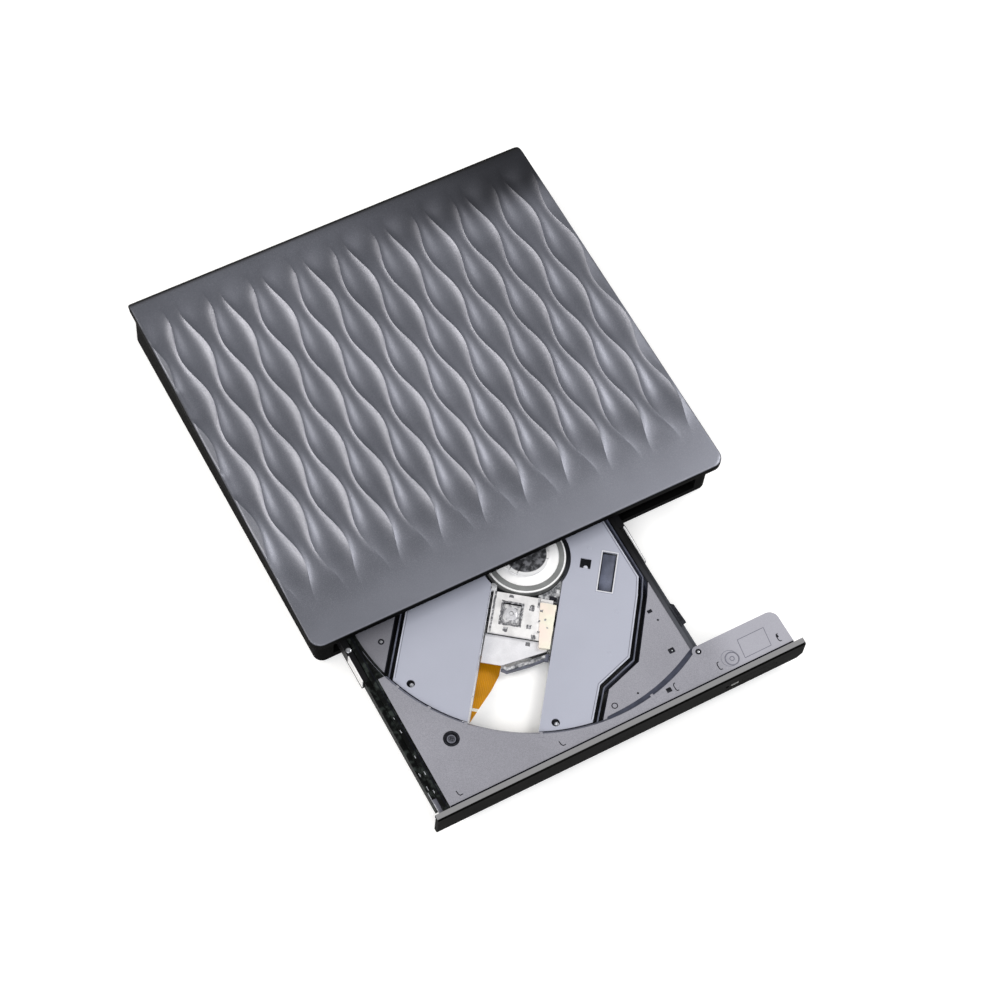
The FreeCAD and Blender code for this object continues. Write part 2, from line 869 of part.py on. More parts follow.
def groove_outline(grow):
    """Middle of the dark groove round the mechanism cover, moved outwards by a distance."""
    right = tray_right - groove_right_gap
    rear = spindle_y + mechanism_rear
    turn = radians(lane_angle)
    rear_along = -(mechanism_rear + cos(turn) * mechanism_left) / sin(turn)
    start = lane_point(rear_along, mechanism_left)
    end = lane_point(floor_radius, mechanism_left)
    front = spindle_y - well_radius - 2 * groove_side_gap
    bends = [(spindle_x + x, spindle_y + y) for x, y in groove_bends]
    corners = [
        (start.x, start.y), (end.x, end.y), (end.x, front), (bends[0][0], front), *bends,
        (right, bends[-1][1] + groove_last_rise), (right, rear),
    ]
    points = [FreeCAD.Vector(x, y, 0) for x, y in corners]
    face = Part.Face(Part.makePolygon(points + points[:1]))
    if grow:
        face = face.makeOffset2D(grow, join=2)
    return face


def groove_prism(grow, z0, z1):
    """Upright prism on the groove outline."""
    face = groove_outline(grow)
    solid = face.extrude(FreeCAD.Vector(0, 0, z1 - z0))
    solid.translate(FreeCAD.Vector(0, 0, z0))
    return solid


def tray():
    """Moulded tray: deck, disc well, floor round the mechanism, walls underneath and the side wing."""
    front = bezel_back
    hull = box(tray_left, tray_right, front, tray_back, tray_bottom, deck_top)
    centre = FreeCAD.Vector(spindle_x, spindle_y, floor_top)
    well = Part.makeCone(floor_radius, well_radius, deck_top - floor_top, centre)
    inside = box(
        tray_left + tray_wall, tray_right - tray_wall, front + tray_wall, tray_back - tray_wall,
        tray_bottom, floor_top - floor_thickness,
    )
    rise = box(
        tray_left + tray_wall, tray_right - tray_wall, front + tray_wall, tray_back - tray_wall,
        floor_top - floor_thickness, deck_top - deck_thickness,
    )
    rise = rise.cut(disc(spindle_x, spindle_y, tray_bottom, deck_top, well_radius + tray_wall))
    opening = groove_prism(groove_half, floor_top - floor_thickness, floor_top)
    opening = opening.common(disc(spindle_x, spindle_y, tray_bottom, deck_top, floor_radius))
    lane = lane_box(
        pickup_inner, pickup_plate_end + sledge_travel + lane_end_room,
        pickup_left - lane_side_room, pickup_right + lane_side_room,
        tray_bottom, floor_top,
    )
    lane = lane.common(box(
        tray_left + tray_wall, tray_right - tray_wall, front + tray_wall, tray_back, tray_bottom, floor_top
    ))
    body = hull.cut([well, inside, rise, opening, lane])
    x, y = deck_screw_place()
    boss = disc(x, y, tray_bottom, deck_top - deck_thickness, deck_screw_ring)
    body = body.fuse([boss, wing().cut(well)])
    cuts = []
    for x, y, tip in ((x, y, deck_screw_tip), (*lug_screw_place(), wing_bottom)):
        cuts.append(disc(x, y, deck_top - screw_head_height, deck_top, deck_screw_ring - screw_recess_rim))
        cuts.append(disc(x, y, tip, deck_top, screw_radius + screw_clearance))
    return body.cut(cuts).removeSplitter()


def wing():
    """Side wing behind the right end of the bezel, with its skirt and the wall behind the button."""
    front = bezel_back
    back = bezel_front + wing_depth
    plate = box(tray_right, wing_right, front, back, wing_bottom, deck_top)
    plate = rounded(plate, wing_radius, lambda p: p.x > wing_right - 1 and p.y > back - 1)
    hollow = box(
        tray_right + wing_lug_room, wing_right - tray_wall, front + tray_wall, back - tray_wall,
        wing_bottom, deck_top - deck_thickness,
    )
    wall = box(tray_right, wing_right, front, front + tray_wall, bezel_bottom + wall_foot, wing_bottom + wall_lap)
    window = box(
        button_x - button_width / 2 - button_bay, button_x + button_width / 2 + button_bay,
        front, front + tray_wall,
        button_z - button_height / 2 - button_bay, button_z + button_height / 2 + button_bay,
    )
    return plate.cut(hollow).fuse(wall).cut(window)


def bezel():
    """Front panel of the tray: rounded face, lip on top and a cut corner at the lower right."""
    left, right = -drive_half, drive_half
    corners = [
        (left, bezel_bottom), (right - bezel_chamfer, bezel_bottom),
        (right, bezel_bottom + bezel_chamfer), (right, bezel_top), (left, bezel_top),
    ]
    points = [FreeCAD.Vector(x, bezel_front, z) for x, z in corners]
    face = Part.Face(Part.makePolygon(points + points[:1]))
    wall = face.extrude(FreeCAD.Vector(0, bezel_wall, 0))
    lip = box(left, right, bezel_front, bezel_front + bezel_lip_depth, bezel_top - bezel_lip_thickness, bezel_top)
    body = wall.fuse(lip).removeSplitter()
    front_long = [
        edge for edge in body.Edges
        if edge.BoundBox.YMax < bezel_front + 0.01 and edge.Length > drive_half
    ]
    body = body.makeChamfer(bezel_corner, front_long)
    lamp = box(
        lamp_x - lamp_width / 2, lamp_x + lamp_width / 2, bezel_front, bezel_back,
        button_z - lamp_height / 2, button_z + lamp_height / 2,
    )
    pin_hole = Part.makeCylinder(
        pin_hole_radius, bezel_wall, FreeCAD.Vector(pin_hole_x, bezel_front, button_z), FreeCAD.Vector(0, 1, 0)
    )
    return body.cut([button_shape(button_gap, bezel_front - 1, bezel_back), lamp, pin_hole])


def button_shape(grow, y0, y1):
    """Rounded bar of the button, or of its hole when grown by the gap."""
    half_w, half_h = button_width / 2 + grow, button_height / 2 + grow
    bar = box(button_x - half_w, button_x + half_w, y0, y1, button_z - half_h, button_z + half_h)
    along = [edge for edge in bar.Edges if abs(edge.Length - (y1 - y0)) < 1e-6 and edge.BoundBox.XLength < 0.01]
    return bar.makeChamfer(half_h * button_corner, along)


def eject_button():
    """Button with a flange behind the bezel that stops it falling out."""
    cap = button_shape(0, bezel_front, bezel_back + button_seat)
    flange = button_shape(button_flange, bezel_back + button_seat, button_back())
    return cap.fuse(flange)


def button_back():
    """Back face of the button's flange."""
    return bezel_back + button_seat + button_flange_depth


def lamp_window():
    """Clear light guide of the activity lamp."""
    return box(
        lamp_x - lamp_width / 2, lamp_x + lamp_width / 2, bezel_front, bezel_back,
        button_z - lamp_height / 2, button_z + lamp_height / 2,
    )


def panel_faces():
    """Front and back of the small board that stands behind the wall of the wing."""
    front = bezel_back + tray_wall + panel_setback
    return front, front + panel_thickness


def tray_panel_board():
    """Upright strip board behind the button."""
    front, back = panel_faces()
    return box(
        lamp_x - panel_end, button_x + button_width / 2 + panel_end, front, back, tray_bottom, wing_bottom - 0.2
    )


def eject_switch():
    """Push switch on the strip board, its plunger a button's travel behind the button."""
    front, _ = panel_faces()
    plunger = button_back() + button_travel + button_seat
    half = switch_width / 2
    nose_back = plunger + switch_nose
    body = box(button_x - half, button_x + half, nose_back, front, button_z - half / 2, button_z + half / 2)
    nose_half = half / 3
    nose = box(
        button_x - nose_half, button_x + nose_half, plunger, nose_back, button_z - nose_half, button_z + nose_half
    )
    return body.fuse(nose)


def mechanism_cover():
    """Light sheet cover round the sledge lane, with the spindle opening, holes and raised window."""
    plate = groove_prism(-groove_half, floor_top - cover_sheet, floor_top)
    plate = plate.common(disc(spindle_x, spindle_y, 0, deck_top, floor_radius - cover_rim_gap))
    lane = lane_box(0, well_radius + 10, lane_left, lane_right, 0, deck_top)
    opening = disc(spindle_x, spindle_y, 0, deck_top, spindle_opening)
    holes = [lane_disc(u, n, 0, deck_top, cover_hole_radius) for u, n in damper_places()[:2]]
    half = square_hole / 2
    square = lane_box(
        square_along - half, square_along + half, square_across - half, square_across + half, 0, deck_top
    )
    long, wide = window_length / 2, window_width / 2
    window = lane_box(window_along - long, window_along + long, window_across - wide, window_across + wide,
                      0, deck_top)
    rim = window_rim
    frame = lane_box(
        window_along - long - rim, window_along + long + rim, window_across - wide - rim,
        window_across + wide + rim, floor_top, floor_top + window_lift,
    )
    return plate.fuse(frame).cut([lane, opening, square, window] + holes)


def damper_places():
    """Rubber mounts of the traverse: along and across the lane."""
    return [(49.3, -27.7), (54.1, 17.4), (-9.0, 22.0)]


def cover_post_places():
    """Posts of the traverse that carry the mechanism cover."""
    return [(40.0, -22.0), (8.0, -30.0), (34.0, 22.0), (-6.7, 17.0)]


def traverse_base():
    """Metal frame round the lane that carries the spindle motor, shafts and sledge motor."""
    low, high = traverse_bottom, traverse_bottom + traverse_thickness
    plate = groove_prism(-groove_half - traverse_inset, low, high)
    plate = plate.common(disc(spindle_x, spindle_y, 0, deck_top, floor_radius - traverse_rim_gap))
    arm_outer = shaft_outer + bracket_depth
    arms = [
        lane_box(arm_inner, arm_outer, traverse_gap_left - arm_width, traverse_gap_left, low, high),
        lane_box(arm_inner, arm_outer, traverse_gap_right, traverse_gap_right + arm_width, low, high),
    ]
    gap = lane_box(shaft_inner + 0.5, arm_outer + 1, traverse_gap_left, traverse_gap_right, 0, deck_top)
    body = plate.fuse(arms).cut(gap)
    reach = shaft_radius + bracket_wall
    spans = [
        (traverse_gap_left - 1, main_shaft_offset + reach), (side_shaft_offset - reach, traverse_gap_right + 1),
    ]
    blocks = [
        lane_box(u, u + bracket_depth, n0, n1, low, shaft_height + shaft_radius + bracket_top)
        for n0, n1 in spans for u in (shaft_inner, shaft_outer)
    ]
    posts = [
        lane_box(u - post_half, u + post_half, n - post_half, n + post_half, high, floor_top - cover_sheet)
        for u, n in cover_post_places()
    ]
    body = body.fuse(blocks + posts)
    groove = screw_shaft_radius + traverse_clearance
    passage = lane_box(
        0, shaft_inner + bracket_depth + edge_gap, screw_shaft_offset - groove, screw_shaft_offset + groove,
        0, deck_top,
    )
    bay = sled_motor_radius + traverse_clearance
    motor = lane_box(
        screw_shaft_inner - sled_motor_length - 2 * traverse_clearance, screw_shaft_inner + traverse_clearance,
        screw_shaft_offset - bay, screw_shaft_offset + bay, 0, deck_top,
    )
    bore = disc(spindle_x, spindle_y, 0, high, spindle_shaft_radius + bearing_gap)
    return body.cut([passage, motor, bore])


def dampers():
    """Rubber pads between the shield and the traverse."""
    return [lane_disc(u, n, tray_bottom, traverse_bottom, damper_radius) for u, n in damper_places()]


def tray_shield():
    """Bright sheet under the tray."""
    inset = shield_inset
    plate = box(
        tray_left + inset, tray_right - inset, bezel_back + inset, tray_back - inset,
        tray_bottom - shield_sheet, tray_bottom,
    )
    return rounded(plate, shield_corner)


def guide_shaft(offset):
    """Polished shaft along the lane."""
    return lane_rod(shaft_inner + bracket_depth, shaft_outer, offset, shaft_height, shaft_radius)


def lead_screw():
    """Screw that drives the sledge."""
    return lane_rod(screw_shaft_inner, screw_shaft_outer, screw_shaft_offset, shaft_height, screw_shaft_radius)


def sled_motor():
    """Small stepper motor in line with the lead screw."""
    end = screw_shaft_inner - edge_gap
    start, nose = end - sled_motor_length, end - motor_nose
    can = lane_rod(start, nose, screw_shaft_offset, shaft_height, sled_motor_radius)
    boss = lane_rod(nose, end, screw_shaft_offset, shaft_height, sled_motor_radius / 2)
    foot = lane_box(
        start + motor_foot_inset, end - motor_foot_inset,
        screw_shaft_offset - motor_foot_half, screw_shaft_offset + motor_foot_half,
        tray_bottom, shaft_height - sled_motor_radius + motor_foot_lap,
    )
    return can.fuse([boss, foot])


def screw_end_bearing():
    """Bearing block at the outer end of the lead screw."""
    start = screw_shaft_outer - screw_bearing_depth
    block = lane_box(
        start, screw_shaft_outer + screw_bearing_wall,
        screw_shaft_offset - screw_bearing_half, screw_shaft_offset + screw_bearing_half,
        tray_bottom, shaft_height + screw_shaft_radius + screw_bearing_top,
    )
    bore = lane_rod(
        start, screw_shaft_outer + bearing_gap, screw_shaft_offset, shaft_height,
        screw_shaft_radius + bearing_gap,
    )
    return block.cut(bore)


def spindle_motor():
    """Fixed half of the spindle motor: seat plate with its bearing bore."""
    base = traverse_bottom + traverse_thickness
    plate = disc(spindle_x, spindle_y, base, base + motor_plate, motor_radius)
    return plate.cut(disc(spindle_x, spindle_y, base, deck_top, spindle_shaft_radius + bearing_gap))


def rotor():
    """Turning bell of the spindle motor with its shaft."""
    bell = disc(spindle_x, spindle_y, rotor_bottom, turntable_bottom, rotor_radius)
    shaft = disc(spindle_x, spindle_y, traverse_bottom, rotor_bottom, spindle_shaft_radius)
    return bell.fuse(shaft)


def turntable():
    """Bright disc that the hub and the friction ring sit on."""
    return disc(spindle_x, spindle_y, turntable_bottom, turntable_top, turntable_radius)


def friction_ring():
    """Rubber ring that grips the disc."""
    top = turntable_top + friction_height
    return ring(spindle_x, spindle_y, turntable_top, top, friction_inner, friction_outer)


def hub():
    """Hub that centres the disc, with a bevelled rim and slots for three spring claws."""
    profile = [
        (0, turntable_top), (hub_radius, turntable_top), (hub_radius, hub_top - hub_bevel),
        (hub_radius - hub_bevel, hub_top), (0, hub_top),
    ]
    points = [FreeCAD.Vector(spindle_x + r, spindle_y, z) for r, z in profile]
    face = Part.Face(Part.makePolygon(points + points[:1]))
    body = face.revolve(FreeCAD.Vector(spindle_x, spindle_y, 0), FreeCAD.Vector(0, 0, 1), 360)
    slots = []
    for turn in claw_turns:
        half = claw_half + claw_side_gap
        slot = box(claw_root, hub_radius + 1, -half, half, claw_bottom, hub_top + 1)
        slots.append(around_spindle(slot, turn))
    return body.cut(slots)


def around_spindle(solid, turn):
    """Turn a solid about the vertical and carry it to the spindle."""
    solid.rotate(FreeCAD.Vector(0, 0, 0), FreeCAD.Vector(0, 0, 1), turn)
    solid.translate(FreeCAD.Vector(spindle_x, spindle_y, 0))
    return solid


def hub_claws():
    """Three spring claws in the slots of the hub that hold the disc down."""
    claws = []
    for turn in claw_turns:
        profile = [
            (claw_root, claw_bottom), (hub_radius - claw_toe, claw_bottom),
            (hub_radius + claw_nose, claw_bottom + claw_nose_height),
            (hub_radius - claw_shoulder, hub_top - claw_drop[0]), (claw_root, hub_top - claw_drop[1]),
        ]
        points = [FreeCAD.Vector(r, -claw_half, z) for r, z in profile]
        claw = Part.Face(Part.makePolygon(points + points[:1])).extrude(FreeCAD.Vector(0, 2 * claw_half, 0))
        claws.append(around_spindle(claw, turn))
    return claws


def pickup_carriage():
    """Sledge of the pickup: block with bearing eyes, nut arm, low front plate and lens pocket."""
    block = lane_box(pickup_inner, pickup_block_end, pickup_left, pickup_right, pickup_bottom, pickup_top)
    low = lane_box(pickup_block_end, pickup_outer, pickup_left, pickup_right, pickup_bottom, pickup_low_top)
    low = low.common(pickup_nose(pickup_block_end, pickup_bottom, pickup_low_top))
    eye_bottom, eye_top = shaft_height - bearing_radius, shaft_height + bearing_radius
    eyes = []
    for start in pickup_eye_places:
        eyes.append(lane_box(
            pickup_inner + start, pickup_inner + start + pickup_eye_length,
            main_shaft_offset - bearing_radius, pickup_left + pickup_root, eye_bottom, eye_top,
        ))
    eyes.append(lane_box(
        pickup_inner + pickup_side_eye, pickup_inner + pickup_side_eye + pickup_eye_length,
        pickup_right - pickup_root, side_shaft_offset + bearing_radius, eye_bottom, eye_top,
    ))
    arm_low = shaft_height + screw_shaft_radius + bearing_gap
    arm = lane_box(
        pickup_inner + pickup_arm_start, pickup_inner + pickup_arm_start + pickup_arm_width,
        screw_shaft_offset - pickup_arm_wall, pickup_left + pickup_root, arm_low, arm_low + pickup_arm_wall,
    )
    bores = [
        lane_rod(pickup_inner, pickup_outer, main_shaft_offset, shaft_height, shaft_radius + bearing_gap),
        lane_rod(pickup_inner, pickup_outer, side_shaft_offset, shaft_height, shaft_radius + bearing_gap),
    ]
    return block.fuse([low, arm] + eyes).cut([lens_opening(lens_pocket_bottom)] + bores)


def lens_opening(bottom):
    """Square opening round the lens, from a height up."""
    half = lens_window / 2
    return lane_box(
        lens_radius_at_rest - half, lens_radius_at_rest + half, lens_offset - half, lens_offset + half,
        bottom, deck_top,
    )


def pickup_cover():
    """Bright stamped cover on the pickup with the window of the lens and a step on the right."""
    plate = lane_box(
        pickup_inner, pickup_block_end, pickup_left + pickup_cover_inset, pickup_right - pickup_cover_inset,
        pickup_top, pickup_cover_top,
    )
    step = lane_box(
        pickup_inner + pickup_step_start, pickup_block_end + 1, pickup_step_left, pickup_right,
        pickup_top + pickup_step_sheet, deck_top,
    )
    u, n = pickup_vent_place
    return plate.cut([lens_opening(pickup_top), step, lane_disc(u, n, 0, deck_top, pickup_vent_radius)])


def pickup_shelf():
    """Laser block cover in pale plastic on the right of the pickup, with its end down on the plate."""
    gap = pickup_cover_inset
    left, right = pickup_step_left + gap, pickup_right - gap
    shelf = lane_box(
        pickup_inner + pickup_step_start + gap, pickup_shelf_end, left, right,
        pickup_top + pickup_step_sheet, pickup_cover_top,
    )
    end = lane_box(
        pickup_block_end + gap, pickup_shelf_end, left, right,
        pickup_low_top + pickup_plate_sheet, pickup_cover_top,
    )
    return shelf.fuse(end)


def pickup_plate():
    """Pale sheet on the low end of the pickup, over the ribbon."""
    start = pickup_block_end + edge_gap
    return pickup_nose(start, pickup_low_top, pickup_low_top + pickup_plate_sheet)


def pickup_nose(start, low, high):
    """Outer end of the pickup between two heights, cut off at a slant."""
    corners = [
        (start, pickup_left), (pickup_plate_end, pickup_left), (pickup_plate_end, pickup_plate_corner),
        (pickup_plate_side, pickup_right), (start, pickup_right),
    ]
    points = [lane_point(u, n) for u, n in corners]
    return prism([(p.x, p.y) for p in points], low, high)


def lens_holder():
    """Square holder that floats in the window and carries the lens."""
    half = lens_holder_size / 2
    body = lane_box(
        lens_radius_at_rest - half, lens_radius_at_rest + half, lens_offset - half, lens_offset + half,
        lens_holder_bottom, pickup_cover_top,
    )
    return body.cut(lane_disc(lens_radius_at_rest, lens_offset, pickup_cover_top - lens_seat, deck_top, lens_radius))


def lens():
    """Objective lens: a low frustum with a flat front."""
    low = pickup_cover_top - lens_seat
    at = lane_point(lens_radius_at_rest, lens_offset, low)
    return Part.makeCone(lens_radius, lens_radius * 0.6, lens_top - low, at)


def deck_screw_place():
    """Place of the screw in the front left of the deck."""
    return spindle_x + deck_screw_x, spindle_y + deck_screw_y


def lug_screw_place():
    """Place of the screw at the inner corner of the wing that holds the right rail."""
    return spindle_x + lug_screw_x, spindle_y + lug_screw_y


def deck_screws():
    """Two screws in rings on the deck: one into the shield's boss, one into the right rail."""
    screws = []
    seat = deck_top - screw_head_height
    for (x, y), tip in ((deck_screw_place(), deck_screw_tip), (lug_screw_place(), lug_screw_tip)):
        shank = disc(x, y, tip, seat, screw_radius)
        screws.append(shank.fuse(disc(x, y, seat, deck_top - screw_sink, screw_head_radius)))
    return screws


def pickup_flex():
    """Flat orange ribbon that lies on the shield under the path of the pickup."""
    points = [lane_point(u, n) for u, n in flex_edge]
    return prism([(p.x, p.y) for p in points], tray_bottom, tray_bottom + flex_sheet)


def build():
    """Make and save every sub-part."""
    socket_shell, socket_tongue = usb_socket()
    parts = {
        "top_cover": [top_cover()],
        "bottom_case": [bottom_case()],
        "rubber_feet": rubber_feet(),
        "drive_chassis": [drive_chassis()],
        "drive_top_plate": [drive_top_plate()],
        "runner_left": [runner(-1)],
        "runner_right": [runner(1)],
        "slide_left": [slide(-1)],
        "slide_right": [slide(1)],
        "main_board": [main_board()],
        "main_chips": main_chips(),
        "usb_bridge_board": [usb_bridge_board()],
        "bridge_chips": bridge_chips(),
        "usb_socket_shell": [socket_shell],
        "usb_socket_tongue": [socket_tongue],
        "drive_plug": [drive_plug()],
        "tray": [tray()],
        "tray_rail_left": [tray_rail(-1)],
        "tray_rail_right": [tray_rail(1)],
        "bezel": [bezel()],
        "eject_button": [eject_button()],
        "lamp_window": [lamp_window()],
        "tray_panel_board": [tray_panel_board()],
        "eject_switch": [eject_switch()],
        "deck_screws": deck_screws(),
        "mechanism_cover": [mechanism_cover()],
        "tray_shield": [tray_shield()],
        "traverse_base": [traverse_base()],
        "dampers": dampers(),
        "guide_shaft_main": [guide_shaft(main_shaft_offset)],
        "guide_shaft_side": [guide_shaft(side_shaft_offset)],
        "lead_screw": [lead_screw()],
        "screw_end_bearing": [screw_end_bearing()],
        "sled_motor": [sled_motor()],
        "spindle_motor": [spindle_motor()],
        "rotor": [rotor()],
        "turntable": [turntable()],
        "friction_ring": [friction_ring()],
        "hub": [hub()],
        "hub_claws": hub_claws(),
        "pickup_carriage": [pickup_carriage()],
        "pickup_cover": [pickup_cover()],
        "pickup_shelf": [pickup_shelf()],
        "pickup_plate": [pickup_plate()],
        "lens_holder": [lens_holder()],
        "lens": [lens()],
        "pickup_flex": [pickup_flex()],
    }
    for name, solids in parts.items():
        save(name, solids)
        valid = all(solid.isValid() for solid in solids)
        count = sum(len(solid.Solids) for solid in solids)
        volume = sum(solid.Volume for solid in solids)
        print(f"{name}: {count} solids, valid {valid}, {volume:.1f} mm3")


os.makedirs("parts", exist_ok=True)
build()
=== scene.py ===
"""Looks of an external disc drive whose tray is half drawn out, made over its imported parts."""

import json
import logging
import math
from dataclasses import dataclass
from enum import Enum
from typing import Any, Sequence

import bpy
import numpy as np
from mathutils import Matrix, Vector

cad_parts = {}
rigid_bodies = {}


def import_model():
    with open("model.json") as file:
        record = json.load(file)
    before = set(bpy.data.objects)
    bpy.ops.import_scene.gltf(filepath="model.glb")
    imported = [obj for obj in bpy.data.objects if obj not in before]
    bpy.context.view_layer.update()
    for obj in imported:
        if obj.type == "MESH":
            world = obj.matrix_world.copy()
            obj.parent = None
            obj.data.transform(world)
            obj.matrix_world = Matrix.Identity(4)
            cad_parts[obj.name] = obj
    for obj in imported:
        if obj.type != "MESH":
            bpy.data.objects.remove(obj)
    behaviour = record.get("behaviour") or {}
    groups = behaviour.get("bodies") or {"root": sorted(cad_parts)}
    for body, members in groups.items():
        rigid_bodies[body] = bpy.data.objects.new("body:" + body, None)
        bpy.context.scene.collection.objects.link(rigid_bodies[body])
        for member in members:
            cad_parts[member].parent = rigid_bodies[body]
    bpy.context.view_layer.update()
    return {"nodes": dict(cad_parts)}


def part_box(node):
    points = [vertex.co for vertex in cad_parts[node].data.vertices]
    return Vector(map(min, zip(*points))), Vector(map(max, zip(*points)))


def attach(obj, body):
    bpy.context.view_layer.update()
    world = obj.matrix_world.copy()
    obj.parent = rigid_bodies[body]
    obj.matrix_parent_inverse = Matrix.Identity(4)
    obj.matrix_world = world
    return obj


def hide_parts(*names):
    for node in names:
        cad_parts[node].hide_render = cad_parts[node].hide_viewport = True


log = logging.getLogger("drive")

MM = 0.001
CASE_SHIFT = 31.9
LANE_TURN = math.radians(52.7)
SIDE_MARK = "side_mark"
Triple = tuple[float, float, float]
Colour = Triple
Point = tuple[float, float]
Box = tuple[float, float, float, float]
SPINDLE: Point = (2.07, -66.3 + CASE_SHIFT)


def srgb(red: float, green: float, blue: float) -> Colour:
    """Turn a display colour of 0 to 255 into the linear one that a shader takes.

    Args:
        red: red, 0 to 255.
        green: green, 0 to 255.
        blue: blue, 0 to 255.

    Returns:
        The linear colour, each part 0 to 1.
    """
    parts = (value / 255.0 for value in (red, green, blue))
    linear = [v / 12.92 if v <= 0.04045 else ((v + 0.055) / 1.055) ** 2.4 for v in parts]
    return (linear[0], linear[1], linear[2])


def ease(value: np.ndarray) -> np.ndarray:
    """Ease from 0 to 1: three squares less two cubes of the value, held between 0 and 1."""
    held = np.clip(value, 0.0, 1.0)
    return held * held * (3.0 - 2.0 * held)


class Wire:
    """A socket of a shader graph that takes plain arithmetic."""

    def __init__(self, graph: "Graph", socket: bpy.types.NodeSocket) -> None:
        """Keep the graph and the socket."""
        self.graph = graph
        self.socket = socket

    def maths(self, operation: str, *values: Any) -> "Wire":
        """Add a Math node.

        Args:
            operation: the node's operation.
            values: its inputs in order, wires or numbers.

        Returns:
            The node's result.
        """
        return self.graph.node("ShaderNodeMath", {"operation": operation}, list(values))

    def __add__(self, other: Any) -> "Wire":
        """Add."""
        return self.maths("ADD", self, other)

    def __radd__(self, other: Any) -> "Wire":
        """Add, number first."""
        return self.maths("ADD", other, self)

    def __sub__(self, other: Any) -> "Wire":
        """Take away."""
        return self.maths("SUBTRACT", self, other)

    def __rsub__(self, other: Any) -> "Wire":
        """Take this from a number."""
        return self.maths("SUBTRACT", other, self)

    def __mul__(self, other: Any) -> "Wire":
        """Multiply."""
        return self.maths("MULTIPLY", self, other)

    def __rmul__(self, other: Any) -> "Wire":
        """Multiply, number first."""
        return self.maths("MULTIPLY", other, self)

    def __truediv__(self, other: Any) -> "Wire":
        """Divide."""
        return self.maths("DIVIDE", self, other)

    def ramp(self, low: float, high: float) -> "Wire":
        """Ease from 0 at low to 1 at high."""
        settings = {"interpolation_type": "SMOOTHSTEP"}
        return self.graph.node("ShaderNodeMapRange", settings, [self, low, high, 0.0, 1.0])

    def step(self, limit: float, soft: float) -> "Wire":
        """Ease from 0 to 1 across a limit, softly to both sides."""
        return self.ramp(limit - soft, limit + soft)

    def within(self, low: float, high: float, soft: float) -> "Wire":
        """Give 1 between two limits and 0 beyond them, with soft edges."""
        return self.step(low, soft) * (1.0 - self.step(high, soft))

    def most(self, other: "Wire") -> "Wire":
        """Give the larger of two values."""
        return self.maths("MAXIMUM", self, other)


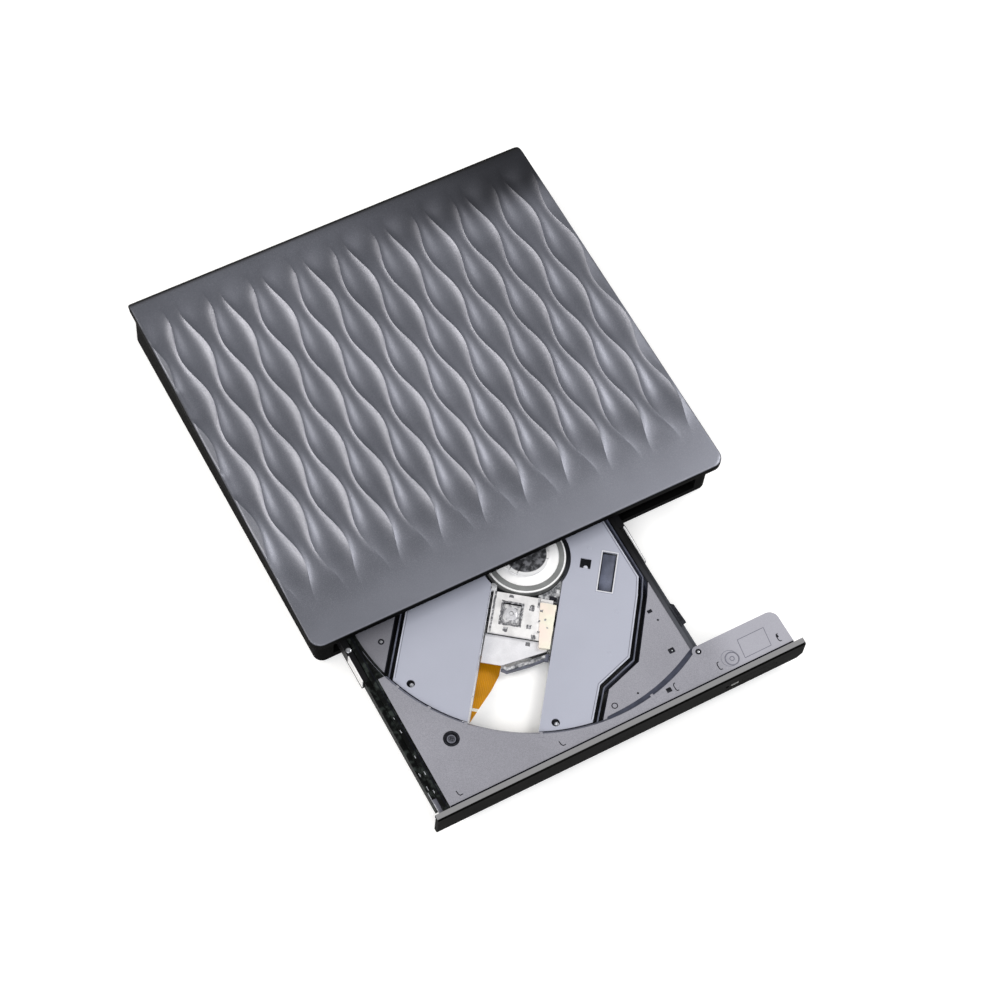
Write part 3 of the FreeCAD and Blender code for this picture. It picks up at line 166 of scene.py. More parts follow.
class Graph:
    """A material's node graph, filled node by node."""

    def __init__(self, name: str) -> None:
        """Make the material and find its shader and output.

        Args:
            name: the material's name.
        """
        self.material = bpy.data.materials.new(name)
        self.material.use_nodes = True
        self.tree = self.material.node_tree
        self.shader = self.tree.nodes["Principled BSDF"]
        self.output = self.tree.nodes["Material Output"]

    def node(
        self,
        kind: str,
        settings: dict[str, Any] | None = None,
        inputs: Sequence[Any] | dict[Any, Any] = (),
        result: int | str = 0,
    ) -> Wire:
        """Add a node: its settings first, then its values and links.

        Args:
            kind: the node's type.
            settings: values of its own properties.
            inputs: wires or values, in order or by socket name or number; None skips one.
            result: which output to give back.

        Returns:
            The chosen output.
        """
        node = self.tree.nodes.new(kind)
        for name, value in (settings or {}).items():
            setattr(node, name, value)
        pairs = inputs.items() if isinstance(inputs, dict) else enumerate(inputs)
        for key, value in pairs:
            if value is not None:
                self.feed(node.inputs[key], value)
        return Wire(self, node.outputs[result])

    def feed(self, socket: bpy.types.NodeSocket, value: Any) -> None:
        """Link a wire to a socket, or set the socket's own value.

        Args:
            socket: the input to fill.
            value: a wire, number or vector.
        """
        if isinstance(value, Wire):
            self.tree.links.new(value.socket, socket)
        elif socket.type == "RGBA" and len(value) == 3:
            socket.default_value = (*value, 1.0)
        else:
            socket.default_value = value

    def place(self) -> Wire:
        """Give the object coordinates, in metres."""
        return self.node("ShaderNodeTexCoord", result="Object")

    def stretched(self, scale: Triple, turn: float = 0.0) -> Wire:
        """Give object coordinates turned about z and stretched by a scale along each axis."""
        inputs = {"Vector": self.place(), "Rotation": (0.0, 0.0, turn), "Scale": scale}
        return self.node("ShaderNodeMapping", {}, inputs)

    def noise(self, size: float, detail: float = 2.0, place: Wire | None = None) -> Wire:
        """Add cloudy noise, about 0.5 in the middle, with features of a size in millimetres."""
        inputs = {"Vector": place or self.place(), "Scale": 1.0 / (size * MM), "Detail": detail}
        return self.node("ShaderNodeTexNoise", {}, inputs, "Fac")

    def lines(self) -> Wire:
        """Add faint rolling lines along y: a stretched noise."""
        return self.noise(0.3, 2.0, self.stretched((1.0, 0.05, 1.0)))

    def blend(self, factor: Any, first: Any, second: Any) -> Wire:
        """Mix two colours: a factor of 0 gives the first and 1 the second."""
        inputs = {0: factor, 6: first, 7: second}
        return self.node("ShaderNodeMix", {"data_type": "RGBA"}, inputs, 2)

    def axis(self, name: str, place: Wire | None = None) -> Wire:
        """Give the X, Y or Z of the object coordinates or of another vector."""
        return self.node("ShaderNodeSeparateXYZ", {}, [place or self.place()], name)

    def along(self, name: str) -> Wire:
        """Give the object's X, Y or Z in millimetres."""
        return self.axis(name) / MM

    def reach(self, centre: Point) -> Wire:
        """Give the distance from an upright axis, in millimetres."""
        across, along = self.along("X") - centre[0], self.along("Y") - centre[1]
        return across.maths("SQRT", across * across + along * along)

    def lane(self) -> tuple[Wire, Wire]:
        """Give the places along and across the sledge's lane.

        Returns:
            Both places, in millimetres from the spindle.
        """
        across, ahead = self.along("X") - SPINDLE[0], self.along("Y") - SPINDLE[1]
        cosine, sine = math.cos(LANE_TURN), math.sin(LANE_TURN)
        return (across * -cosine) - (ahead * sine), (across * sine) - (ahead * cosine)

    def bumps(self, *layers: tuple[Wire, float]) -> None:
        """Give the shader a normal raised by height layers.

        Args:
            layers: pairs of a height wire and its depth in millimetres.
        """
        normal: Wire | None = None
        for height, depth in layers:
            inputs = {"Strength": 1.0, "Distance": depth * MM, "Height": height, "Normal": normal}
            normal = self.node("ShaderNodeBump", {}, inputs, "Normal")
        if normal is not None:
            self.set("Normal", normal)

    def set(self, name: str, value: Any) -> None:
        """Fill one of the shader's sockets with a wire, number or colour."""
        self.feed(self.shader.inputs[name], value)


@dataclass(frozen=True)
class Finish:
    """A moulded or painted surface: a colour with clouds and grain, its shine and its bumps.

    Sizes are in millimetres. Colours are linear.
    """

    name: str
    colour: Colour
    roughness: float = 0.5
    metallic: float = 0.0
    cloud: float = 4.0
    cloud_depth: float = 0.12
    grain: float = 0.2
    grain_depth: float = 0.1
    grain_height: float = 0.006
    roughness_swing: float = 0.1
    specular: float = 0.5

    def build(self) -> bpy.types.Material:
        """Make the material.

        Returns:
            The finished material.
        """
        graph = Graph(self.name)
        graph.set("Specular IOR Level", self.specular)
        graph.set("Metallic", self.metallic)
        self.dress(graph)
        return graph.material

    def shade(self, factor: float) -> Colour:
        """Give the colour made darker or lighter by a factor."""
        return (self.colour[0] * factor, self.colour[1] * factor, self.colour[2] * factor)

    def tint(self, graph: Graph) -> Wire:
        """Give the colour with its clouds and grain.

        Args:
            graph: the graph to add to.

        Returns:
            The varied colour.
        """
        clouds = graph.noise(self.cloud, 4.0).ramp(0.3, 0.7)
        grain = graph.noise(self.grain, 3.0).ramp(0.3, 0.7)
        pale, deep = self.shade(1.0 + self.cloud_depth), self.shade(1.0 - self.cloud_depth)
        low = graph.blend(clouds, deep, pale)
        return graph.blend(self.grain_depth * grain, low, self.shade(0.35))

    def smear(self, graph: Graph) -> Wire:
        """Give the soft blotches of the roughness."""
        return graph.noise(self.cloud * 0.4, 4.0)

    def rough(self, swing: Wire) -> Wire:
        """Give the roughness, moved by what swings it."""
        return self.roughness + self.roughness_swing * swing

    def lay(self, graph: Graph, colour: Wire, rough: Wire, *layers: tuple[Wire, float]) -> None:
        """Fill the shader's sockets.

        Args:
            graph: the graph to fill.
            colour: the base colour.
            rough: the roughness.
            layers: pairs of a height wire and its depth in millimetres.
        """
        graph.set("Base Color", colour)
        graph.set("Roughness", rough)
        graph.bumps(*layers)

    def coat(self, graph: Graph, colour: Wire, extra: Wire | None = None) -> None:
        """Lay a colour with grain bumps and a roughness that swings by blotches and grain.

        Args:
            graph: the graph to fill.
            colour: the base colour.
            extra: what else is added to the roughness.
        """
        grain = graph.noise(self.grain, 3.0)
        rough = self.rough(self.smear(graph) + grain - 1.0)
        rough = rough if extra is None else rough + extra
        self.lay(graph, colour, rough, (grain, self.grain_height))

    def dress(self, graph: Graph) -> None:
        """Lay the tint."""
        self.coat(graph, self.tint(graph))


@dataclass(frozen=True)
class Pressed(Finish):
    """Sheet metal with faint rolling lines and small scratches."""

    line: float = 0.25
    line_height: float = 0.003

    def dress(self, graph: Graph) -> None:
        """Add rolling lines, a stretched noise, to the plain finish.

        Args:
            graph: the graph to fill.
        """
        lines = graph.noise(self.line, 2.0, graph.stretched((1.0, 0.03, 1.0)))
        rough = self.rough(lines + self.smear(graph) - 1.0)
        scratches = (graph.noise(self.grain, 2.0), self.grain_height)
        self.lay(graph, self.tint(graph), rough, (lines, self.line_height), scratches)


@dataclass(frozen=True)
class Turned(Finish):
    """A part turned on a lathe: fine rings about the spindle's axis."""

    pitch: float = 0.3
    ring_height: float = 0.004

    def dress(self, graph: Graph) -> None:
        """Add rings, a sine of the distance from the axis, to the plain finish.

        Args:
            graph: the graph to fill.
        """
        reach = graph.reach(SPINDLE)
        rings = reach.maths("SINE", reach * (2.0 * math.pi / self.pitch))
        rough = self.rough(0.5 * rings + graph.noise(self.cloud * 0.3, 4.0) - 0.5)
        self.lay(graph, self.tint(graph), rough, (rings, self.ring_height))


@dataclass(frozen=True)
class Board(Finish):
    """A printed circuit board: a lacquered ground with paler tracks in blocks."""

    track: Colour = (0.1, 0.4, 0.1)
    block: float = 2.4

    def dress(self, graph: Graph) -> None:
        """Add tracks, the edges of square cells, to the plain finish.

        Args:
            graph: the graph to fill.
        """
        settings = {"feature": "F1", "distance": "CHEBYCHEV"}
        inputs = {"Vector": graph.place(), "Scale": 1.0 / (self.block * MM)}
        cells = graph.node("ShaderNodeTexVoronoi", settings, inputs, "Distance")
        tracks = (cells * 9.0).maths("FRACT", cells * 9.0).ramp(0.45, 0.6)
        colour = graph.blend(tracks * 0.8, self.tint(graph), self.track)
        self.lay(graph, colour, self.roughness + 0.1 * tracks, (tracks, 0.02))


@dataclass(frozen=True)
class Clear(Finish):
    """Clear moulded plastic or glass with faint haze."""

    ior: float = 1.49
    clear: float = 0.6

    def dress(self, graph: Graph) -> None:
        """Let light through, with haze that swings by noise.

        Args:
            graph: the graph to fill.
        """
        graph.set("IOR", self.ior)
        graph.set("Transmission Weight", self.clear)
        haze = graph.noise(self.cloud, 3.0)
        self.lay(graph, self.tint(graph), self.rough(haze), (haze, self.grain_height))


@dataclass(frozen=True)
class Satin(Finish):
    """Satin metallic paint on top of the cover, with the dark plastic of its sides.

    The mesh's own attribute says where the sides are. Painted shade darkens the paint towards the
    back right and painted light brightens its front, between distances in millimetres along x
    and y.
    """

    side: Colour = (0.003, 0.003, 0.003)
    sparkle: float = 0.12
    # Painted shade: towards the back right the paint darkens to this colour, over the two spans
    # below.
    worn: Colour = (0.02, 0.02, 0.023)
    painted_shade_right: Point = (-25.0, 72.0)
    painted_shade_back: Point = (73.0, 87.0)
    # Painted light: the paint brightens towards the front, ahead of these places along y.
    front: Point = (-36.0, -18.0)
    front_light_gain: float = 1.15

    def dress(self, graph: Graph) -> None:
        """Mix the paint and the sides by the attribute, with fine sparkle in the paint.

        Args:
            graph: the graph to fill.
        """
        side = graph.node("ShaderNodeAttribute", {"attribute_name": SIDE_MARK}, (), "Fac")
        inputs = {"Vector": graph.place(), "Scale": 1.0 / (self.sparkle * MM)}
        flake = graph.node("ShaderNodeTexVoronoi", {"feature": "F1"}, inputs, "Color")
        glint = graph.axis("X", flake).ramp(0.75, 1.0)
        paint = graph.blend(0.3 * glint, self.tint(graph), self.shade(2.0))
        # Painted shade towards the back right.
        right = graph.along("X").ramp(*self.painted_shade_right)
        back = graph.along("Y").ramp(*self.painted_shade_back)
        paint = graph.blend(0.85 * right * back, paint, self.worn)
        # Painted light towards the front.
        ahead = 1.0 - graph.along("Y").ramp(*self.front)
        paint = graph.blend(0.7 * ahead, paint, self.shade(self.front_light_gain))
        graph.set("Metallic", self.metallic * (1.0 - side))
        self.coat(graph, graph.blend(side, paint, self.side), 0.1 * side)


@dataclass(frozen=True)
class Deck(Finish):
    """The tray's fine matt plastic, with the smooth slope of its disc well darkened by painted
    shade.

    Reaches are distances from the spindle and the other pairs are places along an axis.
    """

    # The slope's colours are painted shade: dark on the right side, lighter on the lit left side.
    slope: Colour = (0.05, 0.05, 0.06)
    slope_lit_left: Colour = (0.2, 0.2, 0.25)
    slope_reach: Point = (59.65, 60.95)
    slope_height: Point = (10.42, 12.15)
    slope_shade_turn: Point = (-30.0, 10.0)
    # Painted light on the wing, and a painted shadow at the case's mouth, between these places.
    wing: Point = (34.0, 46.0)
    mouth_shadow_back: Point = (-58.0, -42.0)
    mouth_shadow_left: Point = (-48.0, -34.0)
    foot: Point = (10.3, 10.4)

    def dress(self, graph: Graph) -> None:
        """Darken and smooth the ring between two distances from the spindle and two heights.

        Below the foot all is dark too. Painted light brightens the wing and a painted shadow
        darkens the deck at the mouth of the case.

        Args:
            graph: the graph to fill.
        """
        reach, height = graph.reach(SPINDLE), graph.along("Z")
        inner, outer = self.slope_reach
        low, high = self.slope_height
        ring = reach.within(inner, outer, 0.02)
        ring = ring * height.step(low, 0.01) * (1.0 - height.step(high, 0.03))
        dark = ring.most(1.0 - height.ramp(*self.foot))
        # Painted shade: the slope is dark on its right side and along its outer edge.
        rim = 0.8 * reach.ramp(outer - 0.3, outer - 0.15)
        rightward = graph.along("X").ramp(*self.slope_shade_turn)
        slope = graph.blend(rightward.most(rim), self.slope_lit_left, self.slope)
        # Painted light on the wing.
        wing = graph.along("X").ramp(*self.wing)
        plain = graph.blend(0.5 * wing, self.tint(graph), self.shade(1.5))
        # Painted shadow at the mouth of the case.
        left = 1.0 - graph.along("X").ramp(*self.mouth_shadow_left)
        mouth = graph.along("Y").ramp(*self.mouth_shadow_back) * left
        plain = graph.blend(0.6 * mouth, plain, self.shade(0.35))
        grain = graph.noise(self.grain, 3.0)
        rough = self.rough(self.smear(graph) + grain - 1.0) - 0.15 * ring
        self.lay(graph, graph.blend(dark, plain, slope), rough, (grain, self.grain_height))


@dataclass(frozen=True)
class Film(Finish):
    """Bright sheet whose sides are covered by black film: only the sledge's lane is bare."""

    film: Colour = (0.012, 0.012, 0.014)
    lane_edges: Point = (-9.6, 13.4)

    def dress(self, graph: Graph) -> None:
        """Lay the film where the place across the lane is outside the two edges.

        Args:
            graph: the graph to fill.
        """
        bare = graph.lane()[1].within(*self.lane_edges, 0.1)
        colour = graph.blend(bare, self.film, self.tint(graph))
        lines = graph.lines()
        self.lay(graph, colour, self.rough(lines - 0.5), (lines, self.grain_height))


@dataclass(frozen=True)
class Lip(Finish):
    """The bezel's plastic: black and glossy in front, grey and satin on top."""

    top: Colour = (0.25, 0.26, 0.27)
    top_grain: Colour = (0.235, 0.235, 0.24)
    top_height: float = 13.3

    def dress(self, graph: Graph) -> None:
        """Turn grey above a height, with long blotches of painted reflection in the gloss below it.

        Args:
            graph: the graph to fill.
        """
        above = graph.along("Z").step(self.top_height, 0.05)
        streaks = graph.noise(self.cloud, 4.0, graph.stretched((0.35, 1.0, 1.6)))
        reflection_and_rough_blotch = streaks.ramp(0.35, 0.65)
        grain = graph.noise(self.grain, 3.0)
        # Painted reflection: the blotches lighten and darken the gloss's colour; they also swing
        # the roughness.
        gloss = graph.blend(reflection_and_rough_blotch, self.shade(0.55), self.shade(1.5))
        satin = graph.blend(grain, self.top_grain, self.top)
        rough = self.roughness + 0.12 * reflection_and_rough_blotch + 0.25 * above
        self.lay(graph, graph.blend(above, gloss, satin), rough, (grain, self.grain_height))


@dataclass(frozen=True)
class Sheet(Finish):
    """Painted sheet whose raised rims carry a painted highlight."""

    # The rim colour is a painted highlight on the raised rims.
    rim: Colour = (0.6, 0.61, 0.66)
    highlight_height: float = 10.5

    def dress(self, graph: Graph) -> None:
        """Brighten the plain finish above a height with a painted highlight.

        Args:
            graph: the graph to fill.
        """
        above = graph.along("Z").step(self.highlight_height, 0.03)
        self.coat(graph, graph.blend(above, self.tint(graph), self.rim))


@dataclass(frozen=True)
class Ribbon(Finish):
    """Orange flat ribbon with fine tracks along the lane and a pale stiffener across."""

    track_pitch: float = 0.55
    stiffener: Point = (51.6, 52.6)
    pale: Colour = (0.85, 0.83, 0.74)

    def dress(self, graph: Graph) -> None:
        """Add tracks, a sine of the place across the lane, and the stiffener's band along it.

        Args:
            graph: the graph to fill.
        """
        along, across = graph.lane()
        wave = across.maths("SINE", across * (2.0 * math.pi / self.track_pitch))
        tracks, smear = wave.ramp(-0.2, 0.5), graph.noise(self.cloud, 3.0)
        worked = graph.blend(0.3 * tracks, self.tint(graph), self.shade(0.6))
        colour = graph.blend(along.within(*self.stiffener, 0.05), worked, self.pale)
        self.lay(graph, colour, self.rough(smear - 0.5), (tracks, 0.03), (smear, 0.05))


@dataclass(frozen=True)
class Mottled(Finish):
    """A surface broken into ragged patches of two colours, as small worn parts look.

    Beyond a distance from the spindle it is pale.
    """

    other: Colour = (0.5, 0.5, 0.5)
    patch: float = 1.0
    share: float = 0.5
    soft: float = 0.05
    pale_reach: float = 1000.0
    pale: Colour = (0.8, 0.8, 0.81)

    def dress(self, graph: Graph) -> None:
        """Show the other colour where a fine noise passes its share.

        Args:
            graph: the graph to fill.
        """
        height = graph.noise(self.patch, 5.0)
        patch = height.step(self.share, self.soft)
        mixed = graph.blend(patch, self.tint(graph), self.other)
        beyond = graph.reach(SPINDLE).ramp(self.pale_reach, self.pale_reach + 0.3)
        colour = graph.blend(beyond, mixed, self.pale)
        rough = self.rough(self.smear(graph) + patch - 1.0)
        self.lay(graph, colour, rough, (height, self.grain_height * 4.0))


@dataclass(frozen=True)
class Banded(Finish):
    """A part that is bright below a limit along one axis, and dark beyond it and at its foot."""

    bright: Colour = (0.7, 0.7, 0.7)
    limit: float = 0.0
    axis: str = "X"
    soft: float = 0.04
    foot: float = -1.0
    back: float = 1000.0

    def dress(self, graph: Graph) -> None:
        """Brighten below the limit, with rolling lines in the roughness.

        Args:
            graph: the graph to fill.
        """
        # On the slides the bright band is a painted highlight and the dark parts are painted shade.
        beyond = graph.along(self.axis).step(self.limit, self.soft)
        under = 1.0 - graph.along("Z").ramp(self.foot - 0.1, self.foot)
        behind = graph.along("Y").ramp(self.back - 0.1, self.back)
        dark, lines = beyond.most(under.most(behind)), graph.lines()
        colour = graph.blend(dark, self.bright, self.tint(graph))
        self.lay(graph, colour, self.rough(lines - 0.5), (lines, self.grain_height))


class Slot(Enum):
    """The record's material slots that the pieces take their finish from."""

    COVER = "cover_shell"
    BASE = "base_shell"
    BEZEL = "bezel_gloss"
    TRAY = "tray_plastic"
    SHEET = "mechanism_sheet"
    RAIL = "rail_plastic"
    RUBBER = "rubber_black"
    STEEL = "sheet_steel"
    BRIGHT = "bright_steel"
    SCREW = "zinc_screw"
    BOARD = "board_green"
    CHIP = "chip_black"
    PLUG = "plug_black"
    CARRIAGE = "carriage_black"
    PICKUP = "pickup_metal"
    PALE = "pickup_pale"
    FLEX = "flex_orange"
    GLASS = "lens_glass"
    HOLDER = "holder_black"
    LAMP = "lamp_clear"
    HUB = "hub_plastic"
    TURNTABLE = "turntable_metal"


class Look(Enum):
    """Finishes that single pieces wear beside those of the record's slots."""

    FILM = "shield_film"
    GRIP = "grip_rubber"
    LINE = "shadow_line"
    MARK = "deck_mark"
    RIB = "groove_rib"
    ROLLED = "rolled_edge_highlight"
    LILAC = "pickup_low_plate"
    CREAM = "laser_cover"
    GLINT = "steel_glint"
    INK = "dark_mark_and_recess_shade"
    RAGGED = "ragged_dark"
    SCRAP = "mottled_frame"
    HEAD = "screw_head"
    PANE = "window_pane"
    EDGE = "bright_edge"
    SLIDE = "slide_lit_edge"
    SKIRT = "rotor_skirt"
    CARRIER = "lens_carrier"
    PALER_FRONT = "rail_paler_front"
    FOOT_SHADOW = "well_foot_shadow"


FINISHES: dict[Slot, Finish] = {
    Slot.COVER: Satin(
        "cover_satin", srgb(142, 144, 154), 0.42, metallic=0.85, cloud=26.0, cloud_depth=0.1,
        grain=0.16, grain_depth=0.35, grain_height=0.016, specular=0.01,
    ),
    Slot.BASE: Finish(
        "base_matt_black", srgb(14, 14, 14), 0.55, cloud=20.0, grain=0.3, grain_height=0.012,
        specular=0.006,
    ),
    Slot.BEZEL: Lip(
        "bezel_black", srgb(12, 12, 11), 0.3, cloud=14.0, grain=0.3, grain_height=0.004,
        specular=0.005, top=srgb(134, 134, 136),
    ),
    Slot.TRAY: Deck(
        "tray_grey", srgb(149, 149, 158), cloud=25.0, cloud_depth=0.06, grain=0.22,
        # The slope's colours are painted shade, dark on the right and lighter on the lit left.
        grain_depth=0.35, grain_height=0.02, specular=0.25, slope=srgb(56, 59, 72),
        slope_lit_left=srgb(122, 124, 138),
    ),
    Slot.SHEET: Sheet(
        "mechanism_grey", srgb(169, 172, 186), cloud=25.0, cloud_depth=0.03, grain=0.18,
        grain_depth=0.06, specular=0.3,
    ),
    Slot.RAIL: Mottled(
        "rail_black", srgb(19, 20, 20), 0.4, cloud=8.0, grain=0.25, specular=0.015,
        other=srgb(48, 53, 51), patch=2.2, share=0.57, soft=0.1,
    ),
    Slot.RUBBER: Finish(
        "rubber", srgb(34, 34, 35), 0.8, cloud=6.0, grain_height=0.02, specular=0.2,
    ),
    Slot.STEEL: Pressed(
        "sheet_steel", srgb(120, 122, 128), 0.4, metallic=0.9, cloud=12.0, grain=0.3,
    ),
    Slot.BRIGHT: Pressed(
        "bright_steel", srgb(222, 222, 226), 0.25, metallic=1.0, cloud=6.0, grain=0.3,
    ),
    Slot.SCREW: Finish("zinc", srgb(150, 150, 158), 0.35, metallic=0.9, cloud=1.5, grain=0.12),
    Slot.BOARD: Board(
        "board_green", srgb(24, 74, 44), 0.35, cloud=8.0, grain=0.35, track=srgb(60, 128, 78),
    ),
    Slot.CHIP: Finish("chip_black", srgb(30, 30, 32), 0.55, cloud=3.0, grain=0.15),
    Slot.PLUG: Finish("plug_black", srgb(24, 24, 26), 0.45),
    Slot.CARRIAGE: Finish("carriage_black", srgb(44, 44, 47)),
    Slot.PICKUP: Pressed("pickup_plate", srgb(232, 231, 232), 0.4, metallic=0.15),
    Slot.PALE: Finish("pickup_pale", srgb(224, 216, 206), cloud=3.0, cloud_depth=0.08),
    Slot.FLEX: Ribbon("flex_orange", srgb(204, 138, 6), 0.3, cloud=6.0, grain=0.3, specular=0.3),
    Slot.GLASS: Clear(
        "lens_glass", srgb(214, 214, 219), 0.03, cloud=1.0, grain=0.35, grain_depth=0.0,
        grain_height=0.0005, roughness_swing=0.04, ior=1.52, clear=0.15,
    ),
    Slot.HOLDER: Finish(
        "holder_grey", srgb(158, 157, 163), cloud=1.2, cloud_depth=0.3, grain=0.15, grain_depth=0.3,
    ),
    Slot.LAMP: Clear(
        "lamp_clear", srgb(120, 122, 120), 0.1, cloud=1.0, grain=0.35, grain_height=0.001,
    ),
    Slot.HUB: Mottled(
        "hub_black", srgb(58, 59, 62), 0.4, cloud=1.5, cloud_depth=0.4, grain_depth=0.3,
        specular=0.2, other=srgb(116, 117, 122), patch=1.8, share=0.53, soft=0.1, pale_reach=6.5,
    ),
    Slot.TURNTABLE: Turned(
        "turntable_bright", srgb(253, 253, 254), 0.35, cloud=5.0, cloud_depth=0.0, grain=0.35,
        grain_depth=0.01, pitch=0.35,
    ),
}

LOOKS: dict[Look, tuple[Slot, Finish]] = {
    Look.FILM: (Slot.BRIGHT, Film(
        "shield_film", srgb(253, 253, 253), 0.35, cloud=10.0, cloud_depth=0.02, grain=0.35,
        grain_depth=0.02,
    )),
    Look.GRIP: (Slot.RUBBER, Turned("grip_rubber", srgb(124, 126, 126), 0.6, pitch=0.4)),
    Look.LINE: (Slot.RAIL, Finish("shadow_line", srgb(24, 25, 32), 0.6, cloud=6.0, specular=0.02)),
    # Grey marks, and the painted shadow of the sheet's step.
    Look.MARK: (Slot.TRAY, Finish("deck_mark", srgb(112, 113, 124), cloud=6.0, specular=0.3)),
    Look.RIB: (Slot.TRAY, Finish(
        "groove_rib", srgb(92, 95, 110), 0.45, cloud=5.0, cloud_depth=0.3, grain=0.25,
        grain_depth=0.3, specular=0.4,
    )),
    # A real bead, rim and pin whose pale colour is a painted highlight.
    Look.ROLLED: (Slot.SHEET, Finish(
        "rolled_edge_highlight", srgb(196, 199, 211), 0.4, cloud=5.0, cloud_depth=0.15, specular=0.4,
    )),
    Look.LILAC: (Slot.PALE, Pressed(
        "pickup_low_plate", srgb(219, 219, 224), 0.45, cloud=3.0, cloud_depth=0.06,
        grain_depth=0.12, specular=0.4,
    )),
    Look.CREAM: (Slot.PALE, Mottled(
        "laser_cover", srgb(234, 232, 214), cloud=2.5, cloud_depth=0.04, grain_height=0.01,
        other=srgb(238, 221, 212), patch=7.0, share=0.5, soft=0.2,
    )),
    # Painted glints: bright spots and tops that stand for highlights on small parts.
    Look.GLINT: (Slot.STEEL, Pressed(
        "steel_glint", srgb(196, 198, 204), 0.3, metallic=0.6, cloud=1.2, cloud_depth=0.45,
        grain=0.15, grain_depth=0.4,
    )),
    # Dark marks, and painted shade in holes, slots and recesses.
    Look.INK: (Slot.PLUG, Finish(
        "dark_mark_and_recess_shade", srgb(40, 41, 46), 0.6, cloud=1.0, cloud_depth=0.4, grain=0.15,
        grain_depth=0.3, specular=0.03,
    )),
    Look.RAGGED: (Slot.CARRIAGE, Mottled(
        "ragged_dark", srgb(100, 100, 104), cloud=1.0, grain=0.15, specular=0.2,
        other=srgb(180, 180, 184), patch=0.8, share=0.55, soft=0.1,
    )),
    Look.SCRAP: (Slot.STEEL, Mottled(
        "mottled_frame", srgb(106, 108, 113), 0.45, cloud=1.5, cloud_depth=0.3, grain=0.15,
        specular=0.3, other=srgb(200, 201, 204), patch=1.5, share=0.52, soft=0.12,
    )),
    Look.HEAD: (Slot.SCREW, Finish(
        "screw_head", srgb(78, 79, 87), 0.6, metallic=0.2, cloud=1.2, cloud_depth=0.35, grain=0.15,
        grain_depth=0.3, specular=0.2,
    )),
    Look.PANE: (Slot.CHIP, Finish(
        "window_pane", srgb(88, 92, 107), 0.4, cloud=7.0, cloud_depth=0.45, grain=0.3,
        grain_depth=0.2, specular=0.2,
    )),
    Look.EDGE: (Slot.BRIGHT, Pressed(
        "bright_edge", srgb(232, 233, 236), 0.4, metallic=0.1, cloud=3.0, cloud_depth=0.15,
        grain_depth=0.15,
    )),
    # Painted highlight on the slide's outer edge; painted shade on the rest, at its foot and beyond
    # a place along y.
    Look.SLIDE: (Slot.STEEL, Banded(
        "slide_lit_edge", srgb(26, 26, 28), 0.4, specular=0.05, bright=srgb(238, 238, 239), limit=-62.6,
        foot=7.4, back=-40.6,
    )),
    Look.SKIRT: (Slot.TURNTABLE, Turned(
        "rotor_skirt", srgb(104, 105, 104), 0.4, cloud_depth=0.3, pitch=0.3,
    )),
    # Painted shadow of the well's rim on its foot.
    Look.FOOT_SHADOW: (Slot.TRAY, Finish("well_foot_shadow", srgb(70, 73, 87), cloud_depth=0.2, specular=0.1)),
    # The rail's colour grows paler towards the front.
    Look.PALER_FRONT: (Slot.RAIL, Banded(
        "rail_paler_front", srgb(24, 24, 25), 0.4, specular=0.05, bright=srgb(78, 80, 86), limit=-62.0,
        axis="Y", soft=20.0,
    )),
    Look.CARRIER: (Slot.HOLDER, Mottled(
        "lens_carrier", srgb(150, 150, 155), cloud=1.2, cloud_depth=0.2, grain=0.15,
        grain_depth=0.3, other=srgb(206, 206, 208), patch=0.9, share=0.5,
    )),
}

NODE_LOOKS: dict[str, Look] = {
    "tray_shield": Look.FILM,
    "friction_ring": Look.GRIP,
    "pickup_plate": Look.LILAC,
    "slide_left": Look.SLIDE,
    "slide_right": Look.SLIDE,
    "tray_rail_right": Look.PALER_FRONT,
}

NODE_SLOTS: dict[Slot, tuple[str, ...]] = {
    Slot.COVER: ("top_cover",),
    Slot.BASE: ("bottom_case",),
    Slot.BEZEL: ("bezel", "eject_button"),
    Slot.TRAY: ("tray",),
    Slot.SHEET: ("mechanism_cover",),
    Slot.RAIL: ("tray_rail_left", "tray_rail_right"),
    Slot.RUBBER: ("rubber_feet", "dampers"),
    Slot.STEEL: (
        "drive_chassis", "drive_top_plate", "slide_left", "slide_right", "traverse_base",
    ),
    Slot.BRIGHT: (
        "guide_shaft_main", "guide_shaft_side", "lead_screw", "usb_socket_shell", "tray_shield",
        "spindle_motor", "sled_motor",
    ),
    Slot.SCREW: ("deck_screws",),
    Slot.BOARD: ("main_board", "usb_bridge_board", "tray_panel_board"),
    Slot.CHIP: ("main_chips", "bridge_chips", "eject_switch"),
    Slot.PLUG: (
        "drive_plug", "usb_socket_tongue", "runner_left", "runner_right", "screw_end_bearing",
    ),
    Slot.CARRIAGE: ("pickup_carriage",),
    Slot.PICKUP: ("pickup_cover",),
    Slot.PALE: ("pickup_shelf", "pickup_plate"),
    Slot.FLEX: ("pickup_flex",),
    Slot.GLASS: ("lens",),
    Slot.HOLDER: ("lens_holder",),
    Slot.LAMP: ("lamp_window",),
    Slot.HUB: ("hub", "hub_claws"),
    Slot.TURNTABLE: ("turntable", "rotor"),
}


